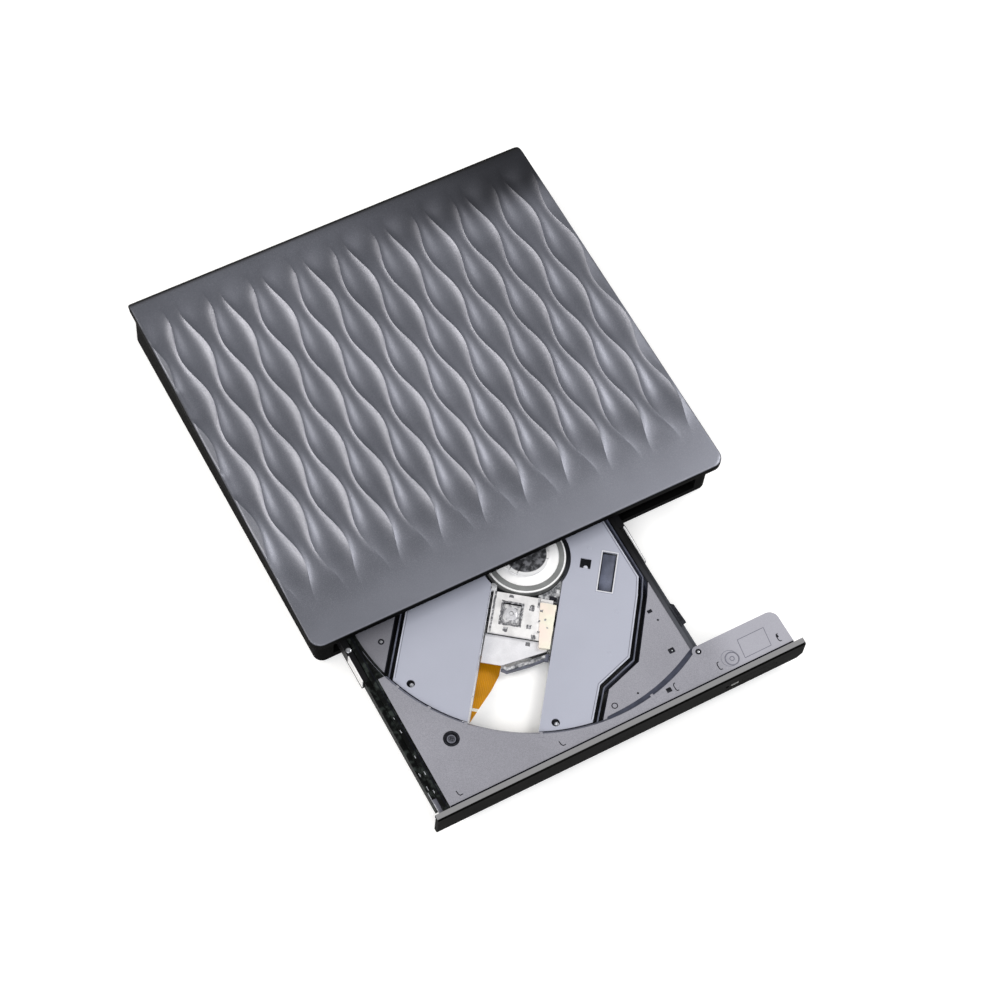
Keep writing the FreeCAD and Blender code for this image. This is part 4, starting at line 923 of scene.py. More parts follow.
class Palette:
    """Every finish, each made once and kept by its slot or look."""

    def __init__(self) -> None:
        """Make the materials."""
        self.materials: dict[Slot | Look, bpy.types.Material] = {}
        for slot, finish in FINISHES.items():
            self.materials[slot] = finish.build()
        for look, (_, finish) in LOOKS.items():
            self.materials[look] = finish.build()

    def dress(self, piece: bpy.types.Object, wear: Slot | Look) -> None:
        """Give a piece the finish of a slot or look."""
        piece.data.materials.clear()
        piece.data.materials.append(self.materials[wear])

    def dress_nodes(self, nodes: dict[str, bpy.types.Object]) -> None:
        """Give every carried-over node its finish.

        Args:
            nodes: the frame's nodes by name.
        """
        for slot, names in NODE_SLOTS.items():
            for name in names:
                self.dress(nodes[name], slot)
                log.info("%s wears %s", name, slot.value)
        for name, look in NODE_LOOKS.items():
            self.dress(nodes[name], look)


def tube_faces(rows: int, columns: int) -> np.ndarray:
    """Number the quads of a grid whose columns close on themselves.

    Args:
        rows: number of rows.
        columns: number of columns.

    Returns:
        One row of four vertex numbers for each quad.
    """
    row, column = np.meshgrid(np.arange(rows - 1), np.arange(columns), indexing="ij")
    near = row * columns + column
    side = row * columns + (column + 1) % columns
    return np.stack([near, side, side + columns, near + columns], axis=-1).reshape(-1, 4)


def oblong(low: Point, high: Point, corner: float = 0.0, steps: int = 5) -> np.ndarray:
    """Place points round a rectangle with rounded corners: a quarter circle at each.

    Args:
        low: lowest x and y.
        high: highest x and y.
        corner: the corners' radius.
        steps: points at each corner.

    Returns:
        One row of x, y for each point, anticlockwise.
    """
    if corner <= 0.0:
        return np.array([low, (high[0], low[1]), high, (low[0], high[1])], dtype=float)
    quarter = np.pi / 2 * np.arange(4)[:, None] + np.linspace(np.pi, 1.5 * np.pi, steps)
    x = np.array([low[0] + corner, high[0] - corner, high[0] - corner, low[0] + corner])
    y = np.array([low[1] + corner, low[1] + corner, high[1] - corner, high[1] - corner])
    px = x[:, None] + corner * np.cos(quarter)
    py = y[:, None] + corner * np.sin(quarter)
    return np.stack([px.ravel(), py.ravel()], axis=-1)


def miters(outline: np.ndarray, closed: bool = True) -> np.ndarray:
    """Give each point's inward step, from its two sides' normals.

    It is their sum over one plus their product.

    Args:
        outline: points in order, anticlockwise where it closes.
        closed: whether the last point joins the first.

    Returns:
        One step for each point, for an inset of one.
    """
    ahead = np.roll(outline, -1, axis=0) - outline
    if not closed:
        ahead[-1] = ahead[-2]
    ahead = ahead / np.linalg.norm(ahead, axis=1, keepdims=True)
    after = np.stack([-ahead[:, 1], ahead[:, 0]], axis=-1)
    before = np.roll(after, 1, axis=0)
    if not closed:
        before[0] = after[0]
    share = 1.0 + np.sum(after * before, axis=1, keepdims=True)
    return (after + before) / np.clip(share, 0.2, None)


def strip(path: np.ndarray, width: float) -> np.ndarray:
    """Give the outline of a strip along a path: moved by half its width to each side."""
    step = miters(path, closed=False) * width / 2
    return np.concatenate([path - step, (path + step)[::-1]])


def ragged(outline: np.ndarray, step: float, swing: float, seed: int) -> np.ndarray:
    """Break an outline into short steps, each point moved in or out by a random share of a swing.

    Args:
        outline: its corners, anticlockwise.
        step: length of the steps.
        swing: the farthest move.
        seed: the random numbers' seed.

    Returns:
        The ragged outline, anticlockwise.
    """
    ahead = np.roll(outline, -1, axis=0) - outline
    count = np.maximum(np.round(np.linalg.norm(ahead, axis=1) / step).astype(int), 1)
    first = np.repeat(np.cumsum(count) - count, count)
    share = (np.arange(count.sum()) - first) / np.repeat(count, count)
    at = np.repeat(np.arange(len(outline)), count)
    points = outline[at] + share[:, None] * ahead[at]
    moved = np.random.default_rng(seed).uniform(-swing, swing, (len(points), 1))
    return points + miters(points) * moved


def to_frame(x: float, y: float) -> Point:
    """Move a place on the resting object from the case's middle to the frame's origin."""
    return (x, y + CASE_SHIFT)


def lane_point(along: Any, across: Any) -> np.ndarray:
    """Turn places along and across the sledge's lane into x, y in the frame.

    Args:
        along: distances from the spindle along the lane.
        across: distances to the right of it.

    Returns:
        One row of x, y for each place.
    """
    along, across = np.asarray(along, dtype=float), np.asarray(across, dtype=float)
    x = SPINDLE[0] - math.cos(LANE_TURN) * along + math.sin(LANE_TURN) * across
    y = SPINDLE[1] - math.sin(LANE_TURN) * along - math.cos(LANE_TURN) * across
    return np.stack([x, y], axis=-1)


def lane_box(start: float, end: float, left: float, right: float) -> np.ndarray:
    """Give the outline of a rectangle lined up with the lane, anticlockwise."""
    return lane_point([start, end, end, start], [left, left, right, right])


def lane_plate(box: Box, heights: Point, edge: float, *rough: float) -> "Shape":
    """Raise a lane's rectangle between two heights, ragged where its step, swing, seed are given.

    Args:
        box: its nearest and farthest place along the lane, its left and right side across it.
        heights: its lowest and highest level.
        edge: how far its top edge is eased.
        rough: length of the ragged steps, their swing and their seed.

    Returns:
        The plate.
    """
    outline = lane_box(*box)
    if rough:
        outline = ragged(outline, rough[0], rough[1], int(rough[2]))
    return Shape.plate(outline, *heights, edge)


def lane_path(places: Sequence[Point]) -> np.ndarray:
    """Turn a path of places along and across the lane into x, y in the frame."""
    return lane_point([place[0] for place in places], [place[1] for place in places])


class Shape:
    """Points and faces of a piece, in millimetres in the frame."""

    def __init__(self, points: np.ndarray, faces: list[np.ndarray]) -> None:
        """Keep the points and the groups of faces."""
        self.points = points
        self.faces = faces

    def __add__(self, other: "Shape") -> "Shape":
        """Put two shapes together.

        Args:
            other: the shape to add.

        Returns:
            A shape with the points and faces of both.
        """
        shift = len(self.points)
        moved = [group + shift for group in other.faces]
        return Shape(np.concatenate([self.points, other.points]), self.faces + moved)

    @classmethod
    def grid(cls, loops: np.ndarray, ends: bool = True) -> "Shape":
        """Close a stack of loops into a skin, with a flat face at each end.

        Args:
            loops: rows of points, each row a closed loop, anticlockwise and going up.
            ends: whether the ends are closed; without them the last row joins the first.

        Returns:
            The shape.
        """
        rows, columns = loops.shape[:2]
        points = loops.reshape(-1, 3)
        if ends:
            last = (rows - 1) * columns + np.arange(columns)
            foot = np.arange(columns)[None, ::-1]
            return cls(points, [tube_faces(rows, columns), foot, last[None, :]])
        wrapped = tube_faces(rows + 1, columns) % (rows * columns)
        return cls(points, [wrapped])

    @classmethod
    def slab(cls, outline: np.ndarray, section: Sequence[Point], closed: bool = False) -> "Shape":
        """Carry a section round an outline: each point is the outline, stepped in, at a height.

        Args:
            outline: x, y of the outline, anticlockwise.
            section: pairs of inset and height, from the bottom up.
            closed: whether the section is a closed loop, for a frame or ring.

        Returns:
            The shape.
        """
        step = miters(outline)
        inset = np.array([pair[0] for pair in section])[:, None, None]
        height = np.array([pair[1] for pair in section])[:, None]
        flat = outline[None] + inset * step[None]
        tall = np.broadcast_to(height, flat.shape[:2])
        return cls.grid(np.concatenate([flat, tall[..., None]], axis=-1), ends=not closed)

    @classmethod
    def plate(cls, outline: np.ndarray, low: float, high: float, edge: float) -> "Shape":
        """Raise an outline between two heights, with eased edges on top."""
        return cls.slab(outline, plate_section(low, high, edge))

    @classmethod
    def turned(
        cls, centre: Point, profile: Sequence[Point], steps: int = 64, closed: bool = False
    ) -> "Shape":
        """Turn a profile about an upright axis.

        Args:
            centre: x and y of the axis.
            profile: pairs of radius and height, from the bottom up on the outside.
            steps: number of columns.
            closed: whether the profile is a closed loop, for a ring.

        Returns:
            The shape.
        """
        turn = 2 * np.pi * np.arange(steps) / steps
        radius = np.array([pair[0] for pair in profile])[:, None]
        height = np.array([pair[1] for pair in profile])[:, None]
        x = centre[0] + radius * np.cos(turn)
        y = centre[1] + radius * np.sin(turn)
        z = np.broadcast_to(height, x.shape)
        return cls.grid(np.stack([x, y, z], axis=-1), ends=not closed)

    def piece(self, name: str, crease: float = 35.0) -> bpy.types.Object:
        """Make the object, smooth but for edges sharper than a crease.

        Args:
            name: the piece's name.
            crease: the angle in degrees above which an edge stays sharp.

        Returns:
            The object.
        """
        mesh = bpy.data.meshes.new(name)
        faces = [row for group in self.faces for row in group.tolist()]
        mesh.from_pydata((self.points * MM).tolist(), [], faces)
        mesh.polygons.foreach_set("use_smooth", np.ones(len(mesh.polygons), dtype=bool))
        mesh.set_sharp_from_angle(angle=math.radians(crease))
        mesh.update()
        made = bpy.data.objects.new(name, mesh)
        bpy.context.scene.collection.objects.link(made)
        return made


def joined(shapes: Sequence[Shape]) -> Shape:
    """Put several shapes together.

    Args:
        shapes: at least one shape.

    Returns:
        A shape with the points and faces of all.
    """
    whole = shapes[0]
    for shape in shapes[1:]:
        whole = whole + shape
    return whole


def plate_section(low: float, high: float, edge: float) -> list[Point]:
    """Give the section of a plate with eased edges on top."""
    return [(0.0, low), (0.0, high - edge), (0.3 * edge, high - 0.3 * edge), (edge, high)]


@dataclass
class Part:
    """A sub-assembly: it makes its pieces and dresses them from the palette."""

    palette: Palette

    def fit(self, piece: bpy.types.Object, wear: Slot | Look, body: str, *nodes: str) -> None:
        """Dress a new piece, let it ride on a body and stand for nodes.

        Args:
            piece: the new piece.
            wear: its finish.
            body: the body that carries it.
            nodes: the nodes that it stands for.
        """
        self.palette.dress(piece, wear)
        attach(piece, body)
        if nodes:
            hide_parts(*nodes)
        log.info("%s rides on %s with %d faces", piece.name, body, len(piece.data.polygons))

    def add(
        self, name: str, shape: Shape, wear: Slot | Look, body: str = "tray", *nodes: str
    ) -> None:
        """Make a shape's piece and fit it."""
        self.fit(shape.piece(name), wear, body, *nodes)

    def build(self) -> None:
        """Make the sub-assembly's pieces."""
        raise NotImplementedError


@dataclass
class WaveCover(Part):
    """The cover: a plate with wavy crests, rolled down into a spine at the back.

    Sizes are in millimetres. The plan and the top height come from the cover's box in the
    frame.
    """

    line_count: int = 20
    pitch: float = 7.4
    middle: float = -0.3
    swing: float = 1.45
    wave: float = 31.8
    wave_place: float = 40.3
    crest: float = 0.8
    crest_margin: float = 0.05
    edge_fade: float = 0.4
    pocket: float = 1.25
    pocket_gain: float = 0.45
    pocket_curve: float = 2.2
    end_slope: float = 0.3
    front_corner: float = 4.0
    back_corner: float = 2.5
    back_taper: float = 1.9
    roll: float = 5.0
    wall: float = 2.0
    thickness: float = 2.5
    rim: float = 0.5
    roll_paint: float = 0.7
    steps: int = 12
    front_fade: Point = (12.0, 36.0)
    back_fade: Point = (6.5, 19.0)

    def stations(self, depth: float) -> np.ndarray:
        """Place the rows: close at the rounded front, then one each millimetre.

        Args:
            depth: length of the flat part, up to the start of the roll.

        Returns:
            Distances from the front edge.
        """
        turn = np.linspace(0.0, np.pi / 2, 7)
        rim = self.rim * (1.0 - np.cos(turn))
        corner = self.front_corner * (1.0 - np.cos(turn))
        flat = np.arange(self.front_corner, depth, 1.0)
        return np.unique(np.round(np.concatenate([rim, corner, flat, [depth]]), 3))

    def columns(self, y: np.ndarray, low: np.ndarray, high: np.ndarray) -> tuple[np.ndarray, ...]:
        """Place the columns so that they follow the crests.

        A crest's x is its place in the row of lines plus or minus the swing times a cosine of
        y. Between two crests the columns stand at a half less half a cosine of the step, so
        that they are close near the crests. The end spaces reach the edges and are close there.

        Args:
            y: distance of each row from the plan's middle.
            low: x of the left edge in each row.
            high: x of the right edge in each row.

        Returns:
            x, the share of the way between two crests, and the width between them, each with
            one row of columns for each y.
        """
        line = np.arange(self.line_count)
        side = np.where(line % 2 == 0, 1.0, -1.0)
        place = self.middle + (line - (self.line_count - 1) / 2) * self.pitch
        turn = 2 * np.pi * (y[:, None] - self.wave_place) / self.wave
        crests = place + side * self.swing * np.cos(turn)
        margin = self.crest_margin
        crests = np.clip(crests, low[:, None] + margin, high[:, None] - margin)
        lines = np.concatenate([low[:, None], crests, high[:, None]], axis=1)
        share = 0.5 - 0.5 * np.cos(np.pi * np.arange(self.steps) / self.steps)
        start, width = lines[:, :-1, None], np.diff(lines, axis=1)[:, :, None]
        x = (start + width * share).reshape(len(y), -1)
        shares = np.broadcast_to(share, (len(y), self.line_count + 1, self.steps)).copy()
        widths = np.broadcast_to(width, shares.shape)
        x = np.concatenate([x, high[:, None]], axis=1)
        closing = np.ones((len(y), 1))
        shares = np.concatenate([shares.reshape(len(y), -1), closing], axis=1)
        widths = np.concatenate([widths.reshape(len(y), -1), widths[:, -1, -1:]], axis=1)
        return x, shares, widths

    def profile(self, top: float, foot: float, half: float) -> tuple[np.ndarray, ...]:
        """Place the rows of both skins, from the front edge to the foot of the spine.

        The back turns down as a quarter circle of the roll outside. Inside it is a quarter
        ellipse, as long as the roll less the wall and as high as the roll less the thickness.

        Args:
            top: height of the plate.
            foot: lowest height of the spine.
            half: half the depth of the plan.

        Returns:
            For each row its y and height outside, its y and height inside, and its share
            of the sides' finish.
        """
        run = self.stations(2 * half - self.roll)
        turn = np.linspace(0.0, np.pi / 2, 13)[1:]
        start, floor = half - self.roll, top - self.thickness
        spine = top - self.roll - np.array([0.3, 1.0]) * (top - self.roll - foot)
        outer_y = np.concatenate([run - half, start + self.roll * np.sin(turn), [half, half]])
        outer_z = top - self.roll * (1.0 - np.cos(turn))
        outer_z = np.concatenate([np.full(len(run), top), outer_z, spine])
        inner_y = start + (self.roll - self.wall) * np.sin(turn)
        inner_y = np.concatenate([run - half, inner_y, [half - self.wall] * 2])
        inner_z = floor - (floor - (top - self.roll)) * (1.0 - np.cos(turn))
        inner_z = np.concatenate([np.full(len(run), floor), inner_z, spine])
        rolled = np.concatenate([np.zeros(len(run)), ease(turn / self.roll_paint), [1.0, 1.0]])
        return outer_y, outer_z, inner_y, inner_z, rolled

    def corners(self, y: np.ndarray, half: float) -> tuple[np.ndarray, np.ndarray]:
        """Round the plan's corners: each side steps in by the radius less a circle's height.

        Args:
            y: distance of each row from the plan's middle.
            half: half the depth of the plan.

        Returns:
            How far each row reaches into the front corners, and its inset.
        """
        ahead = np.clip(self.front_corner - (y + half), 0.0, self.front_corner)
        behind = np.clip(self.back_corner - (half - y), 0.0, self.back_corner)
        inset = self.front_corner - np.sqrt(self.front_corner**2 - ahead**2)
        return ahead, inset + self.back_corner - np.sqrt(self.back_corner**2 - behind**2)

    def relief(
        self, y: np.ndarray, half: float, away: np.ndarray, share: np.ndarray, width: np.ndarray
    ) -> np.ndarray:
        """Give the height over the plate, which fades out at the front, the back and the edge.

        It is the crest height less a pocket whose depth grows with its width and whose
        section is one less a power of the distance from its middle. In the two end spaces
        it falls evenly with the distance from the crest, down to the plate.

        Args:
            y: distance of each row from the plan's middle.
            half: half the depth of the plan.
            away: distance of each point from the outline.
            share: share of the way between two crests.
            width: width between the two crests.

        Returns:
            The height of each point.
        """
        fade = np.ones_like(y)
        for from_edge, (none, full) in ((y + half, self.front_fade), (half - y, self.back_fade)):
            fade = fade * ease((from_edge - none) / (full - none))
        spread = np.clip((width - self.pitch) / (2 * self.swing), -1.0, 1.0)
        depth = self.pocket * (1.0 + self.pocket_gain * spread)
        wave = self.crest - depth * (1.0 - np.abs(2 * share - 1.0) ** self.pocket_curve)
        space = np.arange(share.shape[1]) // self.steps
        away_line = np.where(space == 0, 1.0 - share, share) * width
        even = self.crest - np.minimum(self.end_slope * away_line, self.crest)
        wave = np.where((space == 0) | (space >= self.line_count), even, wave)
        return fade[:, None] * ease(away / self.edge_fade) * wave

    def build(self) -> None:
        """Make the cover from an outer and an inner skin.

        The rim drops as a quarter circle of the distance from the outline.
        """
        low_corner, high_corner = (np.array(c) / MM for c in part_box("top_cover"))
        middle = (low_corner[1] + high_corner[1]) / 2
        half = (high_corner[1] - low_corner[1]) / 2
        top = high_corner[2] - self.crest
        y, base, under_y, under, rolled = self.profile(top, low_corner[2], half)
        ahead, inset = self.corners(y, half)
        low = low_corner[0] + inset + self.back_taper * (y + half) / (2 * half)
        high = high_corner[0] - inset
        x, share, width = self.columns(y, low, high)
        sides = np.minimum(x - low[:, None], high[:, None] - x)
        centre = self.front_corner - inset[:, None]
        reach = np.hypot(np.clip(centre - sides, 0.0, None), ahead[:, None])
        away = np.where(ahead[:, None] > 0, self.front_corner - reach, sides)
        away = np.minimum(away, (y + half)[:, None])
        near = np.clip(self.rim - away, 0.0, self.rim)
        rim = self.rim - np.sqrt(self.rim**2 - near**2)
        tall = base[:, None] + self.relief(y, half, away, share, width) - rim
        outer = np.stack(np.broadcast_arrays(x, y[:, None] + middle, tall), axis=-1)
        inner = np.broadcast_arrays(x, under_y[:, None] + middle, under[:, None])
        loop = np.concatenate([outer, np.stack(inner, axis=-1)[:, ::-1]], axis=1)
        rows, columns = loop.shape[:2]
        count = x.shape[1]
        first = np.arange(count - 1)
        front = [first, 2 * count - 1 - first, 2 * count - 2 - first, first + 1]
        front = np.stack(front, axis=-1)
        end = front[:, ::-1] + (rows - 1) * columns
        shape = Shape(loop.reshape(-1, 3), [tube_faces(rows, columns), front, end])
        cover = shape.piece("wave_cover", 50.0)
        side = np.maximum(1.0 - ease(away / self.rim), rolled[:, None])
        marks = np.concatenate([side, np.ones_like(side)], axis=1).ravel()
        layer = cover.data.attributes.new(SIDE_MARK, "FLOAT", "POINT")
        layer.data.foreach_set("value", marks.astype(np.float32))
        self.fit(cover, Slot.COVER, "case", "top_cover")


@dataclass
class Mechanism(Part):
    """The edge of the mechanism cover and what shows in the dark groove round it.

    Lengths are in millimetres. The groove's bends are measured from the spindle.
    """

    left: float = -34.6
    left_run: Point = (-3.8, 48.3)
    bends: tuple[Point, ...] = (
        (-7.4, -58.9), (0.0, -50.0), (12.7, -46.1), (25.9, -28.4), (29.53, -22.7), (29.53, 23.9),
    )
    half: float = 1.35
    shield_top: float = 5.0
    sheet_top: float = 10.4
    rib_top: float = 9.9
    rib_width: float = 0.45
    bead: Point = (0.14, 0.24)
    bead_height: float = 0.12
    line: Point = (0.6, 0.2)
    line_height: float = 0.03
    post_holes: tuple[Point, ...] = ((49.3, -27.7), (54.1, 17.4))
    dimples: tuple[Point, ...] = ((21.5, -72.9), (18.1, -95.8), (8.9, -107.4))
    pane: Box = (-5.7, 7.4, 24.1, 28.1)
    pane_heights: Point = (9.3, 9.7)
    dimple: tuple[Point, ...] = ((0.9, 10.35), (0.75, 10.43), (0.45, 10.46), (0.15, 10.47))
    hole_pin: Point = (0.19, 19.2)
    hole_pin_outline: tuple[Point, ...] = ((0.8, 7.0), (0.8, 9.6), (0.6, 9.9), (0.05, 10.0))
    lane_rim: Box = (13.2, 50.0, -8.7, -8.45)
    lane_rim_heights: Point = (9.5, 10.38)
    post: tuple[Point, ...] = (
        (0.75, 7.0), (0.75, 9.5), (0.62, 9.7), (0.4, 9.72), (0.32, 9.55), (0.1, 9.5),
    )
    post_shift: Point = (0.25, -0.3)

    def paths(self) -> list[np.ndarray]:
        """Give the groove's two arms, each with the mechanism on its left hand."""
        left = lane_point(np.array(self.left_run), np.full(2, self.left))
        return [left, np.array(self.bends) + np.array(SPINDLE)]

    def along(self, inset: float, width: float, section: Sequence[Point]) -> Shape:
        """Lay a strip beside both arms of the groove.

        Args:
            inset: distance from the groove's middle towards the mechanism.
            width: the strip's width.
            section: pairs of inset and height of the strip's section.

        Returns:
            The strips.
        """
        laid = [path + miters(path, closed=False) * inset for path in self.paths()]
        strips = [Shape.slab(strip(path, width), section) for path in laid]
        return strips[0] + strips[1]

    def build(self) -> None:
        """Make the rib, the rolled edge, the step shadow line, the mount tops and the dimples."""
        rib = self.along(0.0, self.rib_width, plate_section(self.shield_top, self.rib_top, 0.08))
        self.add("groove_rib", rib, Look.RIB)
        top = self.sheet_top
        # The bead is real; its pale finish is a painted highlight.
        inset, width = self.bead
        bead = self.along(
            self.half + inset, width, plate_section(top - 0.02, top + self.bead_height, 0.1)
        )
        self.add("rolled_edge_highlight", bead, Look.ROLLED)
        thin = plate_section(top - 0.02, top + self.line_height, 0.02)
        # Painted shadow: a thin dark line where the sheet steps, in from the rolled edge.
        inset, width = self.line
        self.add("step_shadow_line", self.along(self.half + inset, width, thin), Look.MARK)
        self.add("groove_shade", self.along(-self.half - 0.1, 0.35, thin), Look.LINE)
        # The mount tops wear a painted highlight.
        caps = joined([self.mount_top(lane_point(*place)) for place in self.post_holes])
        self.add("mount_tops", caps, Look.GLINT)
        bumps = [Shape.turned(to_frame(*place), self.dimple, 24) for place in self.dimples]
        self.add("sheet_dimples", joined(bumps), Slot.SHEET)
        self.add("window_pane", lane_plate(self.pane, self.pane_heights, 0.1), Look.PANE)
        x, y = lane_point(*self.hole_pin)
        pin = Shape.turned((x, y), self.hole_pin_outline, 20)
        rim = lane_plate(self.lane_rim, self.lane_rim_heights, 0.08, 1.1, 0.05, 3)
        self.add("lane_rim", pin + rim, Look.ROLLED)

    def mount_top(self, centre: np.ndarray) -> Shape:
        """Make the top of a rubber mount's pin as it shows in its hole.

        Args:
            centre: x and y of the hole.

        Returns:
            The pin's head, with a dish in it.
        """
        x, y = centre + np.array(self.post_shift)
        return Shape.turned((float(x), float(y)), self.post, 24)


@dataclass
class DeckMarks(Part):
    """Small moulded marks, catches and tabs on the tray's deck, floor and wing.

    Lengths are in millimetres, places are those of the resting object. Dark marks in holes and
    slots are painted shade.
    """

    deck: float = 12.2
    floor: float = 10.4
    thin: float = 0.04
    line: float = 0.28
    hooks: tuple[Point, ...] = ((-54.1, -127.3), (-19.1, -127.3))
    holes: tuple[Box, ...] = (
        (18.6, -126.8, 1.7, 1.5), (57.7, -126.3, 0.6, 0.9),
    )
    floor_holes: tuple[Box, ...] = (
        (27.3, -100.5, 1.6, 1.1), (26.6, -115.1, 2.0, 1.7),
    )
    notch_light: Box = (26.7, -115.2, 0.35, 0.4)
    floor_dots: tuple[Point, ...] = ((28.1, -104.2), (10.2, -122.8))
    floor_rings: tuple[Box, ...] = (
        (1.8, -123.2, 0.7, 1.0), (-51.4, -72.3, 0.5, 0.98),
    )
    floor_tops: tuple[Point, ...] = ((-51.4, -72.3),)
    brackets: tuple[Point, ...] = ((20.9, -126.9), (36.4, -126.9), (57.7, -126.9))
    boss: Point = (41.24, -126.5)
    panel: tuple[Point, ...] = ((45.0, -128.1), (54.4, -128.1), (55.3, -121.8), (45.9, -121.8))
    tab_turns: tuple[float, ...] = (201.5, 212.5, 224.0, 245.6, 280.4)
    tab_reach: Point = (60.25, 62.1)
    tab_half: float = 0.75
    shade_sheet_left: float = -58.5
    shade_sheet_turns: Point = (177.0, 196.6)
    well: Point = (59.5, 60.98)
    lip_shadow_box: Box = (-58.3, 61.2, -130.66, -129.75)
    lug_screw: Point = (33.17, -119.8)
    fillet_turns: Point = (265.2, 301.4)
    fillet_reach: Point = (58.75, 60.62)
    fillet_power: float = 0.12
    fillet_steps: int = 40
    slope_foot: float = 59.65
    slope_run: float = 1.3
    slope_rise: float = 1.73
    crown_foot: float = 59.7
    crown_slope: float = 1.5

    def flat(self, outline: np.ndarray, level: float, height: float) -> Shape:
        """Lay a thin plate with the given outline on a level."""
        return Shape.plate(outline, level - 0.02, level + height, 0.4 * height)

    def patch(self, hole: Box, level: float) -> Shape:
        """Lay a small dark rectangle.

        Args:
            hole: x, y of its middle, its width and its length.
            level: height of the surface that it lies on.

        Returns:
            The rectangle.
        """
        x, y, width, length = hole
        x, y = to_frame(x, y)
        low, high = (x - width / 2, y - length / 2), (x + width / 2, y + length / 2)
        return self.flat(oblong(low, high, min(0.2, width / 4), 3), level, self.thin)

    def stroke(self, path: Sequence[Point], level: float, width: float) -> Shape:
        """Lay a thin line along a path of the resting object."""
        points = np.array(path) + np.array([0.0, CASE_SHIFT])
        return self.flat(strip(points, width), level, self.thin)

    def ring(self, centre: Point, inner: float, outer: float, level: float, height: float) -> Shape:
        """Lay a flat ring.

        Args:
            centre: its middle on the resting object.
            inner: inner radius.
            outer: outer radius.
            level: height of the surface that it lies on.
            height: its thickness.

        Returns:
            The ring.
        """
        low, high = level - 0.02, level + height
        profile = [
            (outer, low), (outer, high - 0.02), (outer - 0.04, high), (inner + 0.04, high),
            (inner, low),
        ]
        return Shape.turned(to_frame(*centre), profile, 32, closed=True)

    def hook(self, place: Point) -> Shape:
        """Lay a hook-shaped mark: a short stem with a foot to the right.

        Args:
            place: x and y on the resting object.

        Returns:
            The mark.
        """
        x, y = place
        path = [(x - 0.45, y + 1.0), (x - 0.3, y - 0.3), (x + 0.1, y - 0.8), (x + 1.0, y - 0.75)]
        return self.stroke(path, self.deck, self.line)

    def bracket(self, place: Point) -> Shape:
        """Lay a bracket-shaped mark, open to the right.

        Args:
            place: x and y on the resting object.

        Returns:
            The mark.
        """
        x, y = place
        path = [
            (x + 0.5, y + 1.35), (x - 0.1, y + 1.2), (x - 0.35, y + 0.6), (x - 0.35, y - 0.7),
            (x - 0.1, y - 1.2), (x + 0.5, y - 1.3),
        ]
        return self.stroke(path, self.deck, self.line)

    def tab(self, turn: float) -> Shape:
        """Make a disc catch on the well's edge: a small plate that leans over the slope.

        Args:
            turn: its place round the spindle, in degrees.

        Returns:
            The catch.
        """
        ahead = np.array([math.cos(math.radians(turn)), math.sin(math.radians(turn))])
        aside = np.array([-ahead[1], ahead[0]]) * self.tab_half
        inner, outer = (np.array(SPINDLE) + ahead * reach for reach in self.tab_reach)
        outline = np.array([outer + aside, inner + 0.6 * aside, inner - 0.6 * aside, outer - aside])
        return Shape.plate(outline, self.deck - 0.5, self.deck + 0.12, 0.1)

    def edge_shade_sheet(self) -> Shape:
        """Make the black sheet of painted shade on the sliver between the well and the deck's left
        edge.

        Its loops stand along the well's circle. Each goes from the deck's edge over the
        deck to the circle and down the slope, and back a little lower.

        Returns:
            The black sheet of painted shade.
        """
        turn = np.radians(np.linspace(*self.shade_sheet_turns, 25))
        ahead = np.stack([np.cos(turn), np.sin(turn)], axis=-1)
        inner, outer = (ahead * reach + np.array(SPINDLE) for reach in self.well)
        left = np.stack([np.full_like(turn, self.shade_sheet_left), outer[:, 1]], axis=-1)
        outer[:, 0] = np.maximum(outer[:, 0], self.shade_sheet_left)
        places = np.stack([left, outer, inner, inner, left], axis=1)
        deck, floor = self.deck, self.floor
        reach = np.hypot(*(outer - np.array(SPINDLE)).T)
        crown = np.minimum(deck + 0.05, floor + 0.2 + self.crown_slope * (reach - self.crown_foot))
        foot, under = np.full_like(crown, floor + 0.05), np.full_like(crown, floor - 0.1)
        tall = np.stack([crown, crown, foot, under, crown - 0.3], axis=1)
        return Shape.grid(np.concatenate([places, tall[..., None]], axis=-1)[:, ::-1])

    def fillet(self) -> Shape:
        """Make the soft foot of the well's slope at its front right, thinned to both ends.

        Returns:
            The foot: a sloping band whose inner edge follows a sine of its length.
        """
        # Its dark finish is a painted shadow of the well's rim.
        count = self.fillet_steps
        share = np.linspace(0.0, 1.0, count)
        start, end = self.fillet_turns
        turn = np.radians(start + share * (end - start))
        inner, outer = self.fillet_reach
        swell = np.sin(np.pi * share) ** self.fillet_power
        near = outer - 0.3 - (outer - 0.3 - inner) * swell
        rise = (outer - self.slope_foot) / self.slope_run * self.slope_rise
        far = np.full(count, outer)
        reach = np.stack([near, far, far, near], axis=1)
        levels = (self.floor + 0.03, self.floor + 0.06 + rise, self.floor - 0.1, self.floor - 0.1)
        height = np.stack([np.full(count, level) for level in levels], axis=1)
        ahead = np.stack([np.cos(turn), np.sin(turn)], axis=-1)[:, None]
        places = ahead * reach[..., None] + np.array(SPINDLE)
        return Shape.grid(np.concatenate([places, height[..., None]], axis=-1))

    def build(self) -> None:
        """Make the marks, one piece for each finish."""
        # Dark marks, with painted shade in holes and slots.
        dark = [self.patch(hole, self.deck) for hole in self.holes]
        dark += [self.patch(hole, self.floor) for hole in self.floor_holes]
        dark += [self.hook(place) for place in self.hooks]
        dark += [self.bracket(place) for place in self.brackets]
        dark += [self.ring(place, 0.05, 0.35, self.floor, self.thin) for place in self.floor_dots]
        dark += [self.ring((x, y), *radii, self.floor, 0.08) for x, y, *radii in self.floor_rings]
        self.add("deck_marks", joined(dark), Look.INK)
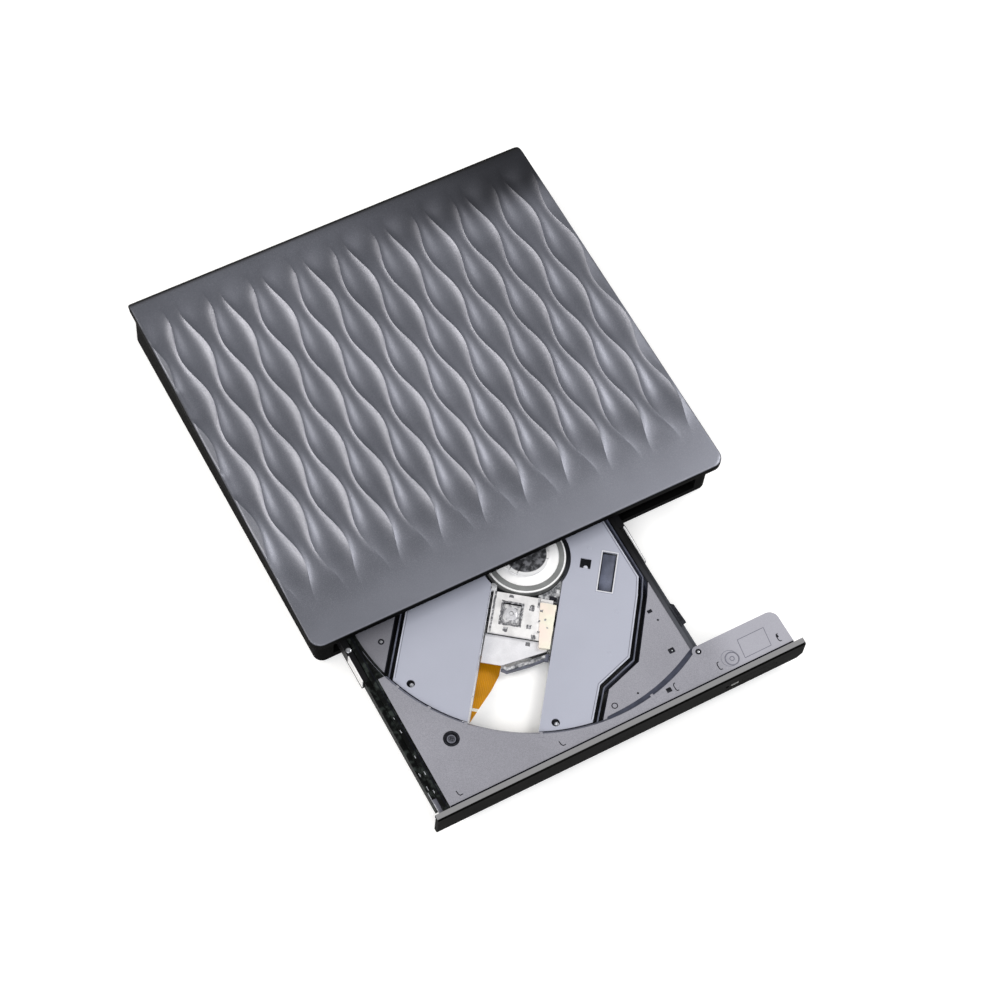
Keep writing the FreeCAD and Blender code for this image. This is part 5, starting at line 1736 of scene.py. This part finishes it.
        # Painted glints: a light patch in a notch, a spot on the small screw's head and the tops of
        # floor pins.
        pale = [self.patch(self.notch_light, self.floor + self.thin)]
        pale.append(self.ring(self.lug_screw, 0.02, 0.4, self.deck - 0.1, 0.12))
        pale += [self.ring(place, 0.02, 0.42, self.floor, 0.1) for place in self.floor_tops]
        left, right, front, back = self.lip_shadow_box
        self.add("deck_lights", joined(pale), Look.GLINT)
        # Painted shadow behind the bezel's lip.
        shadow_strip = self.flat(oblong(to_frame(left, front), to_frame(right, back)), self.deck, self.thin)
        self.add("lip_shadow", shadow_strip, Look.LINE)
        x, y = self.boss
        grey = [
            self.ring(self.boss, 1.95, 2.3, self.deck, 0.12),
            self.ring(self.boss, 0.55, 0.8, self.deck, 0.1),
            self.ring((x - 0.6, y + 0.4), 2.6, 2.75, self.deck, 0.03),
        ]
        corners = list(self.panel) + [self.panel[0]]
        grey += [self.stroke(corners[at:at + 2], self.deck, 0.2) for at in range(4)]
        self.add("wing_marks", joined(grey), Look.MARK)
        tabs = joined([self.tab(turn) for turn in self.tab_turns])
        self.add("disc_catches", tabs, Slot.TRAY)
        # A black sheet of painted shade on the deck's sliver.
        self.add("deck_edge_shade", self.edge_shade_sheet(), Slot.RAIL)
        # The well's foot wears a painted shadow.
        self.add("well_foot_shadow", self.fillet(), Look.FOOT_SHADOW)


@dataclass
class Screws(Part):
    """The two deck screws with their pale collars and painted shade in their recesses.

    Lengths are in millimetres, places are those of the resting object.
    """

    places: tuple[Point, ...] = ((-47.86, -110.9), (33.17, -119.8))
    seat: float = 11.4
    top: float = 12.1
    radius: float = 1.3
    recess: float = 2.0
    shank: float = 0.8
    tip: float = 6.0
    cross: Point = (0.14, 0.8)
    deck: float = 12.2

    def head(self, place: Point, scale: float) -> Shape:
        """Make a screw: shank and domed head with a cross cut in it.

        The head's height is a dome less a cross, which is deep where either offset from
        the middle is small.

        Args:
            place: its middle on the resting object.
            scale: the head's width against the full one.

        Returns:
            The screw.
        """
        x, y = to_frame(*place)
        radius = self.radius * scale
        turn = 2 * np.pi * np.arange(64) / 64 + 0.35
        share = np.linspace(1.0, 0.02, 16)[:, None]
        across, along = share * radius * np.cos(turn), share * radius * np.sin(turn)
        dome = self.top - 0.3 * share**2
        half, reach = self.cross[0] * scale, self.cross[1] * scale
        near = np.minimum(np.abs(across), np.abs(along))
        cut = ease((half + 0.12 - near) / 0.12) * (np.hypot(across, along) < reach)
        face = np.stack([across + x, along + y, dome - 0.4 * cut], axis=-1)
        levels = ((self.shank, self.tip), (self.shank, self.seat), (radius, self.seat))
        out, tall = (np.array(column)[:, None] for column in zip(*levels))
        rim = np.stack(np.broadcast_arrays(
            x + out * np.cos(turn), y + out * np.sin(turn), tall
        ), axis=-1)
        return Shape.grid(np.concatenate([rim, face]))

    def build(self) -> None:
        """Make both screws and their collars."""
        heads = self.head(self.places[0], 0.82) + self.head(self.places[1], 0.4)
        self.add("cross_screws", heads, Look.HEAD, "tray", "deck_screws")
        rim = Shape.turned(to_frame(*self.places[0]), [
            (1.36, self.seat + 0.2), (1.34, self.seat + 0.62), (1.12, self.seat + 0.62),
            (1.1, self.seat + 0.2),
        ], 48, closed=True)
        self.add("screw_rim", rim, Look.MARK)
        # Painted shade in the recess round the large screw and round the small one.
        seat, deck, edge = self.seat, self.deck, self.recess
        dark = Shape.turned(to_frame(*self.places[0]), [
            (edge - 0.02, seat), (edge - 0.02, deck + 0.02), (edge + 0.55, deck - 0.02),
            (edge + 0.53, deck + 0.05), (edge - 0.1, deck + 0.07), (edge - 0.25, seat + 0.3),
            (1.37, seat + 0.25), (1.37, seat),
        ], 48, closed=True)
        ring = Shape.turned(to_frame(*self.places[1]), [
            (0.95, deck - 0.2), (0.95, deck + 0.05), (0.58, deck + 0.05), (0.58, deck - 0.2),
        ], 40, closed=True)
        self.add("screw_rings", dark + ring, Look.INK)
        collar = Shape.turned(to_frame(*self.places[1]), [
            (edge - 0.01, seat), (edge - 0.01, deck), (0.96, deck), (0.9, deck - 0.1), (0.9, seat),
        ], 40, closed=True)
        self.add("screw_collar", collar, Slot.TRAY)


@dataclass
class Pickup(Part):
    """What shows on the laser pickup: worn frame, lens and its guard, marks, pale block, bracket.

    Places are along and across the sledge's lane from the spindle, in millimetres.
    """

    top: float = 9.7
    plate: float = 8.3
    left_frame: Box = (13.45, 27.4, -7.25, -6.6)
    guards: tuple[Box, ...] = (
        (15.9, 24.5, -5.3, -4.4), (15.9, 24.5, 2.0, 2.95),
    )
    lens_place: Point = (20.2, -1.2)
    lens_frame: Box = (16.0, 24.4, -4.65, 2.3)
    frame_width: float = 0.6
    marks: tuple[Box, ...] = (
        (14.2, -2.0, 0.9, 1.3), (17.3, 4.85, 1.7, 1.6), (23.7, 4.75, 1.4, 1.4),
        (25.8, -2.3, 1.6, 1.4), (15.1, 6.72, 2.7, 0.7), (26.9, 6.6, 1.5, 1.3),
    )
    dots: tuple[Box, ...] = (
        (17.6, 7.8, 0.8, 0.9), (21.1, 7.7, 0.6, 0.6), (20.4, 9.4, 0.6, 0.7), (24.9, 7.9, 0.5, 0.7),
        (23.0, 10.4, 0.4, 0.5),
    )
    low_marks: tuple[Box, ...] = ((28.9, 5.3, 1.3, 1.3),)
    block: Box = (14.7, 30.0, 6.95, 12.2)
    block_slant: float = 1.8
    block_foot: float = 27.95
    bar: tuple[Point, ...] = ((37.75, -1.2), (38.1, 0.3), (34.7, 6.7), (31.4, 12.0))
    bar_width: float = 1.1
    bar_shade: tuple[Point, ...] = ((38.5, -1.5), (38.95, 0.4), (35.5, 7.0), (32.1, 12.2))
    bar_heights: Point = (6.4, 8.2)
    shade_width: float = 0.3
    end_block: Box = (31.0, 33.0, 11.2, 12.5)
    end_heights: Point = (6.4, 8.3)
    foot_heights: Point = (8.3, 9.45)
    shelf_foot: float = 9.38
    guard_foot: float = 9.62
    carrier_base: Box = (3.3, 2.8, 8.7, 9.2)
    carrier_top: Box = (2.9, 2.4, 9.15, 9.5)
    collar: tuple[Point, ...] = ((2.55, 9.3), (2.5, 9.66), (2.35, 9.69), (2.25, 9.6), (2.25, 9.3))
    dome: tuple[Point, ...] = (
        (2.2, 9.4), (2.18, 9.55), (1.9, 9.72), (1.4, 9.86), (0.9, 9.94), (0.4, 9.97),
        (0.05, 9.98),
    )
    inner: tuple[Point, ...] = (
        (0.82, 9.8), (0.81, 9.96), (0.75, 9.985), (0.6, 9.995), (0.5, 9.995), (0.48, 9.85),
    )

    def patches(self, marks: Sequence[Box], level: float, seed: int) -> Shape:
        """Lay small ragged plates.

        Args:
            marks: for each its place along and across the lane, and its size each way.
            level: height of the surface that they lie on.
            seed: seed of their outlines.

        Returns:
            The plates.
        """
        made = []
        for number, (along, across, length, width) in enumerate(marks):
            outline = lane_box(
                along - length / 2, along + length / 2, across - width / 2, across + width / 2
            )
            rough = ragged(outline, 0.4, 0.12, seed + number)
            made.append(Shape.plate(rough, level - 0.05, level + 0.05, 0.02))
        return joined(made)

    def carrier(self) -> Shape:
        """Make the lens carrier: a low base, a smaller top and a collar round the lens.

        Returns:
            The carrier.
        """
        along, across = self.lens_place
        made = []
        steps = ((self.carrier_base, ()), (self.carrier_top, (0.7, 0.12, 41)))
        for (reach, half, low, high), rough in steps:
            around = (along - reach, along + reach, across - half, across + half)
            made.append(lane_plate(around, (low, high), 0.1, *rough))
        x, y = lane_point(along, across)
        return joined(made + [Shape.turned((x, y), self.collar, 40, closed=True)])

    def build(self) -> None:
        """Make the details of the pickup, one piece for each finish and body."""
        top = self.top
        worn = lane_plate(self.left_frame, (top - 0.1, top + 0.06), 0.03, 0.9, 0.08, 11)
        ring = Shape.slab(
            ragged(lane_box(*self.lens_frame), 0.55, 0.14, 12),
            [
                (0.0, self.guard_foot), (0.0, top + 0.08), (self.frame_width, top + 0.08),
                (self.frame_width, self.guard_foot),
            ],
            closed=True,
        )
        marks = self.patches(self.marks, top, 20) + self.patches(self.low_marks, self.plate, 30)
        self.add("pickup_worn_marks", worn + ring + marks, Look.RAGGED, "pickup")
        heights = (self.guard_foot, top + 0.04)
        guards = [lane_plate(guard, heights, 0.03) for guard in self.guards]
        self.add("lens_guard", joined(guards), Slot.PICKUP, "pickup")
        _, end, left, right = self.block
        outline = lane_box(*self.block)
        outline[1] = lane_point(end, left + self.block_slant)
        outline = ragged(outline, 1.3, 0.08, 13)
        shelf = Shape.plate(outline, self.shelf_foot, top + 0.08, 0.12)
        under = (self.block_foot, end - 0.1, left + self.block_slant + 0.1, right - 0.7)
        foot = lane_plate(under, self.foot_heights, 0.05)
        self.add("laser_cover", shelf + foot, Look.CREAM, "pickup", "pickup_shelf")
        dots = self.patches(self.dots, top + 0.08, 50)
        self.add("laser_cover_marks", dots, Look.RAGGED, "pickup")
        low, high = self.bar_heights
        bar = Shape.plate(strip(lane_path(self.bar), self.bar_width), low, high, 0.2)
        self.add("pickup_bar", bar, Look.SCRAP, "pickup")
        shade = strip(lane_path(self.bar_shade), self.shade_width)
        shade = Shape.plate(shade, low, high - 0.1, 0.1)
        block = lane_plate(self.end_block, self.end_heights, 0.1, 0.5, 0.1, 14)
        self.add("pickup_bar_edge", (shade + block), Look.RIB, "pickup")
        self.add("lens_carrier", self.carrier(), Look.CARRIER, "lens", "lens_holder")
        x, y = lane_point(*self.lens_place)
        self.add("lens_dome", Shape.turned((x, y), self.dome, 48), Slot.GLASS, "lens", "lens")
        ring = Shape.turned((x, y), self.inner, 40, closed=True)
        self.add("lens_ring", ring, Look.RAGGED, "lens")


@dataclass
class LeadScrew(Part):
    """The screw beside the lane with its round thread. Lengths are in millimetres."""

    run: Point = (2.0, 59.0)
    across: float = -14.6
    height: float = 7.4
    radius: float = 1.2
    pitch: float = 3.0
    depth: float = 0.3
    plain: float = 2.5

    def build(self) -> None:
        """Make the screw.

        Its radius falls by the depth times the fourth power of a sine: of half the turn less
        the place over the pitch. It is plain near both ends.
        """
        start, end = self.run
        place = np.linspace(start, end, 230)[:, None]
        turn = 2 * np.pi * np.arange(20) / 20
        fade = ease(place - start - self.plain) * ease(end - self.plain - place)
        cut = np.sin(turn / 2 - np.pi * place / self.pitch) ** 4
        radius = self.radius - self.depth * fade * cut
        flat = lane_point(np.broadcast_to(place, radius.shape), self.across + radius * np.cos(turn))
        tall = self.height + radius * np.sin(turn)
        loops = np.concatenate([flat, tall[..., None]], axis=-1)
        screw = Shape.grid(loops)
        self.add("threaded_screw", screw, Slot.BRIGHT, "lead_screw", "lead_screw")


@dataclass
class Spindle(Part):
    """What shows round the spindle: the rotor's skirt and the frame beside the lane.

    Heights and radii are in millimetres, places are along and across the lane.
    """

    skirt: tuple[Point, ...] = (
        (12.2, 8.0), (12.85, 8.0), (13.05, 8.3), (13.0, 9.4), (12.92, 10.3), (12.83, 10.3),
        (12.83, 9.78), (12.2, 9.78),
    )
    inner: float = 13.25
    turns: Point = (15.0, 62.0)
    side: float = 12.7
    end: float = 13.2
    frame_heights: Point = (6.9, 8.3)
    tab_heights: Point = (7.9, 9.0)
    hollow_heights: Point = (8.2, 8.42)
    tab: Box = (8.9, 10.3, 11.6, 12.75)
    hollow: Box = (11.4, 13.1, 9.6, 12.0)
    left_tab: Box = (10.4, 13.0, -8.7, -6.9)

    def scrap(self) -> Shape:
        """Make the mottled frame between the spindle and the right side of the lane.

        Returns:
            The frame, whose outline runs anticlockwise.
        """
        turn = np.radians(np.linspace(*self.turns, 14))
        along, across = self.inner * np.sin(turn), self.inner * np.cos(turn)
        along, across = along[::-1], across[::-1]
        along = np.concatenate([along, [2.6, self.end, self.end]])
        across = np.concatenate([across, [self.side, self.side, float(across[0])]])
        outline = lane_point(along, across)
        ahead = np.roll(outline, -1, axis=0)
        area = np.sum(outline[:, 0] * ahead[:, 1] - outline[:, 1] * ahead[:, 0])
        outline = outline if area > 0 else outline[::-1]
        return Shape.plate(outline, *self.frame_heights, 0.1)

    def build(self) -> None:
        """Make the skirt, the frame and its tabs."""
        skirt = Shape.turned(SPINDLE, self.skirt, 96, closed=True)
        self.add("rotor_skirt", skirt, Look.SKIRT, "spindle")
        self.add("lane_frame", self.scrap(), Look.SCRAP)
        tabs = [
            lane_plate(tab, self.tab_heights, 0.1, 0.5, 0.1, 60)
            for tab in (self.tab, self.left_tab)
        ]
        self.add("lane_tabs", joined(tabs), Look.EDGE)
        # Painted shade in the hollow.
        hollow = lane_plate(self.hollow, self.hollow_heights, 0.05, 0.5, 0.15, 61)
        self.add("lane_hollow", hollow, Look.INK)


@dataclass
class Rails(Part):
    """Ridges, plates and painted glints on the rails and slides.

    Lengths are in millimetres, places are those of the resting object.
    """

    top: float = 12.0
    low: float = 10.8
    ridges: tuple[Box, ...] = ((-59.35, -59.1, -130.4, -60.0),)
    spots: tuple[Box, ...] = (
        (-60.2, -59.95, -97.6, -96.9), (-60.35, -60.1, -102.5, -101.4),
        (-60.35, -60.1, -111.6, -110.7), (-60.2, -59.95, -117.6, -116.4),
        (-60.55, -60.35, -123.9, -122.9),
    )
    end_plate: Box = (-61.85, -60.62, -131.0, -125.2)
    low_spots: tuple[Box, ...] = (
        (-61.6, -61.35, -117.2, -115.8), (-61.5, -61.25, -122.0, -120.6),
        (-62.1, -61.87, -130.4, -122.6),
    )
    tongue: tuple[Point, ...] = (
        (34.9, -70.9), (34.9, -84.6), (35.15, -84.6), (35.5, -73.0), (35.5, -70.9),
    )
    tongue_edge: tuple[Point, ...] = (
        (35.45, -70.9), (35.45, -73.0), (35.1, -84.6), (35.25, -84.7), (35.64, -73.0),
        (35.64, -70.9),
    )
    tab: tuple[Point, ...] = ((34.0, -109.3), (35.4, -109.0), (35.05, -102.0), (34.0, -101.0))
    pin: Point = (-61.83, -70.8)
    tongue_heights: Point = (6.2, 10.0)
    tongue_edge_heights: Point = (6.2, 10.02)
    tab_heights: Point = (10.6, 10.98)
    pin_outline: tuple[Point, ...] = (
        (0.85, 11.3), (0.85, 11.55), (0.7, 11.63), (0.35, 11.65), (0.05, 11.6),
    )

    def plates(self, boxes: Sequence[Box], height: float, top: float) -> Shape:
        """Lay thin plates on the left rail at one of its two levels.

        Args:
            boxes: left, right, front and back of each on the resting object.
            height: thickness of the plates.
            top: height of the rail's surface.

        Returns:
            The plates.
        """
        made = []
        for low_x, high_x, low_y, high_y in boxes:
            outline = oblong(to_frame(low_x, low_y), to_frame(high_x, high_y))
            made.append(Shape.plate(outline, top - 0.02, top + height, 0.3 * height))
        return joined(made)

    def upright(self, outline: Sequence[Point], low: float, high: float) -> Shape:
        """Raise an outline of the resting object, given anticlockwise, between two heights."""
        points = np.array(outline) + np.array([0.0, CASE_SHIFT])
        return Shape.plate(points, low, high, 0.08)

    def build(self) -> None:
        """Make the details, one piece for each finish and body."""
        top, low = self.top, self.low
        self.add("rail_ridges", self.plates(self.ridges, 0.12, top), Look.LINE)
        self.add("rail_end_plate", self.plates([self.end_plate], 0.1, low), Look.MARK)
        # The spots are painted glints.
        spots = self.plates(self.spots, 0.12, top) + self.plates(self.low_spots, 0.12, low)
        self.add("rail_spots", spots, Look.GLINT)
        # The tongue's bright face is a painted highlight, its dark outline a painted shadow.
        tongue = self.upright(self.tongue, *self.tongue_heights)
        self.add("slide_tongue", tongue, Look.EDGE, "slide_right")
        edge = self.upright(self.tongue_edge, *self.tongue_edge_heights)
        self.add("slide_tongue_edge", edge, Look.LINE, "slide_right")
        self.add("rail_tab", self.upright(self.tab, *self.tab_heights), Look.INK)
        # The pin is real; its bright finish is a painted highlight.
        pin = Shape.turned(to_frame(*self.pin), self.pin_outline, 24)
        self.add("slide_pin", pin, Look.GLINT, "slide_left")


@dataclass
class Studio:
    """Pale floor, soft lamps and the camera.

    Lengths are in metres.
    """

    floor_size: float = 6.0
    floor_colour: Colour = (0.8, 0.8, 0.8)
    floor_clouds: Colour = (0.79, 0.79, 0.79)
    floor_glow: float = 0.42
    sky: float = 0.24
    sky_colour: Colour = (0.93, 0.96, 1.0)
    focal: float = 95.99
    eye: Triple = (-0.229586, -0.341144, 0.745619)
    rows: tuple[Triple, ...] = (
        (0.87561091, 0.39400188, -0.2794066),
        (-0.47852528, 0.78630836, -0.39081034),
        (0.06571973, 0.47590092, 0.87704004),
    )
    lamps: tuple[tuple[str, Triple, Point, float, Colour], ...] = (
        ("key_left", (-0.79, 0.44, 0.63), (0.35, 0.95), 5.8, (1.0, 0.95, 0.87)),
        ("fill_right", (0.52, -0.05, 0.62), (0.3, 0.4), 3.4, (1.0, 0.98, 0.95)),
        ("fill_front", (-0.55, -0.75, 1.0), (0.9, 0.9), 10.3, (1.0, 1.0, 1.0)),
    )

    def build_floor(self) -> bpy.types.Object:
        """Make the floor: a pale sheet that reads white to the camera and keeps shadows.

        Returns:
            The floor.
        """
        side = np.linspace(-1.0, 1.0, 5) * self.floor_size / 2 / MM
        x, y = np.meshgrid(side, side, indexing="ij")
        points = np.stack([x, y, np.zeros_like(x)], axis=-1).reshape(-1, 3)
        row, column = np.meshgrid(np.arange(4), np.arange(4), indexing="ij")
        near = row * 5 + column
        faces = np.stack([near, near + 5, near + 6, near + 1], axis=-1).reshape(-1, 4)
        floor = Shape(points, [faces]).piece("studio_floor")
        graph = Graph("floor_paper")
        paper = graph.noise(400.0, 2.0)
        graph.set("Base Color", graph.blend(paper, self.floor_colour, self.floor_clouds))
        graph.set("Roughness", 0.9)
        graph.set("Specular IOR Level", 0.1)
        rays = ("Is Camera Ray", "Is Glossy Ray", "Is Transmission Ray")
        camera, glossy, passed = (graph.node("ShaderNodeLightPath", result=ray) for ray in rays)
        seen = camera.most(glossy.most(passed))
        inputs = {"Color": (1.0, 1.0, 1.0), "Strength": seen * self.floor_glow}
        glow = graph.node("ShaderNodeEmission", {}, inputs)
        surface = graph.shader.outputs["BSDF"]
        both = graph.node("ShaderNodeAddShader", {}, [Wire(graph, surface), glow])
        graph.feed(graph.output.inputs["Surface"], both)
        floor.data.materials.append(graph.material)
        return floor

    def build_world(self) -> None:
        """Make the even pale surroundings that fill the shadows."""
        world = bpy.data.worlds.new("studio_sky")
        world.use_nodes = True
        ground = world.node_tree.nodes["Background"]
        ground.inputs["Color"].default_value = (*self.sky_colour, 1.0)
        ground.inputs["Strength"].default_value = self.sky
        bpy.context.scene.world = world

    def build_lamps(self) -> None:
        """Hang the soft lamps, each turned towards the drive with its long side front to back."""
        for name, place, size, power, colour in self.lamps:
            light = bpy.data.lights.new(name, "AREA")
            light.energy = power
            light.color = colour
            light.shape = "RECTANGLE"
            light.size, light.size_y = size
            lamp = bpy.data.objects.new(name, light)
            away = np.array(place) / np.linalg.norm(place)
            up = np.array((0.0, 1.0, 0.0)) - away[1] * away
            up = up / np.linalg.norm(up)
            right = np.cross(up, away)
            pose = np.eye(4)
            pose[:3, :3] = np.stack([right, up, away], axis=1)
            pose[:3, 3] = place
            lamp.matrix_world = Matrix(pose.tolist())
            bpy.context.scene.collection.objects.link(lamp)

    def build_camera(self) -> None:
        """Set the camera at the fitted place and turn."""
        data = bpy.data.cameras.new("camera")
        data.lens = self.focal
        data.sensor_width = 36.0
        data.clip_end = 20.0
        camera = bpy.data.objects.new("camera", data)
        pose = np.eye(4)
        pose[:3, :3] = self.rows
        pose[:3, 3] = self.eye
        camera.matrix_world = Matrix(pose.tolist())
        bpy.context.scene.collection.objects.link(camera)
        bpy.context.scene.camera = camera

    def build(self) -> None:
        """Set up the whole stage."""
        bpy.context.scene.view_settings.view_transform = "Standard"
        self.build_camera()
        self.build_world()
        self.build_lamps()
        self.build_floor()


def main() -> None:
    """Load the frame, set the stage, dress the nodes and build the pieces."""
    logging.basicConfig(level=logging.INFO, format="%(message)s")
    for object_left in list(bpy.data.objects):
        bpy.data.objects.remove(object_left)
    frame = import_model()
    Studio().build()
    palette = Palette()
    palette.dress_nodes(frame["nodes"])
    parts = (WaveCover, Mechanism, DeckMarks, Screws, Pickup, LeadScrew, Spindle, Rails)
    for part in parts:
        part(palette).build()
        log.info("%s is built", part.__name__)


if __name__ == "__main__":
    main()
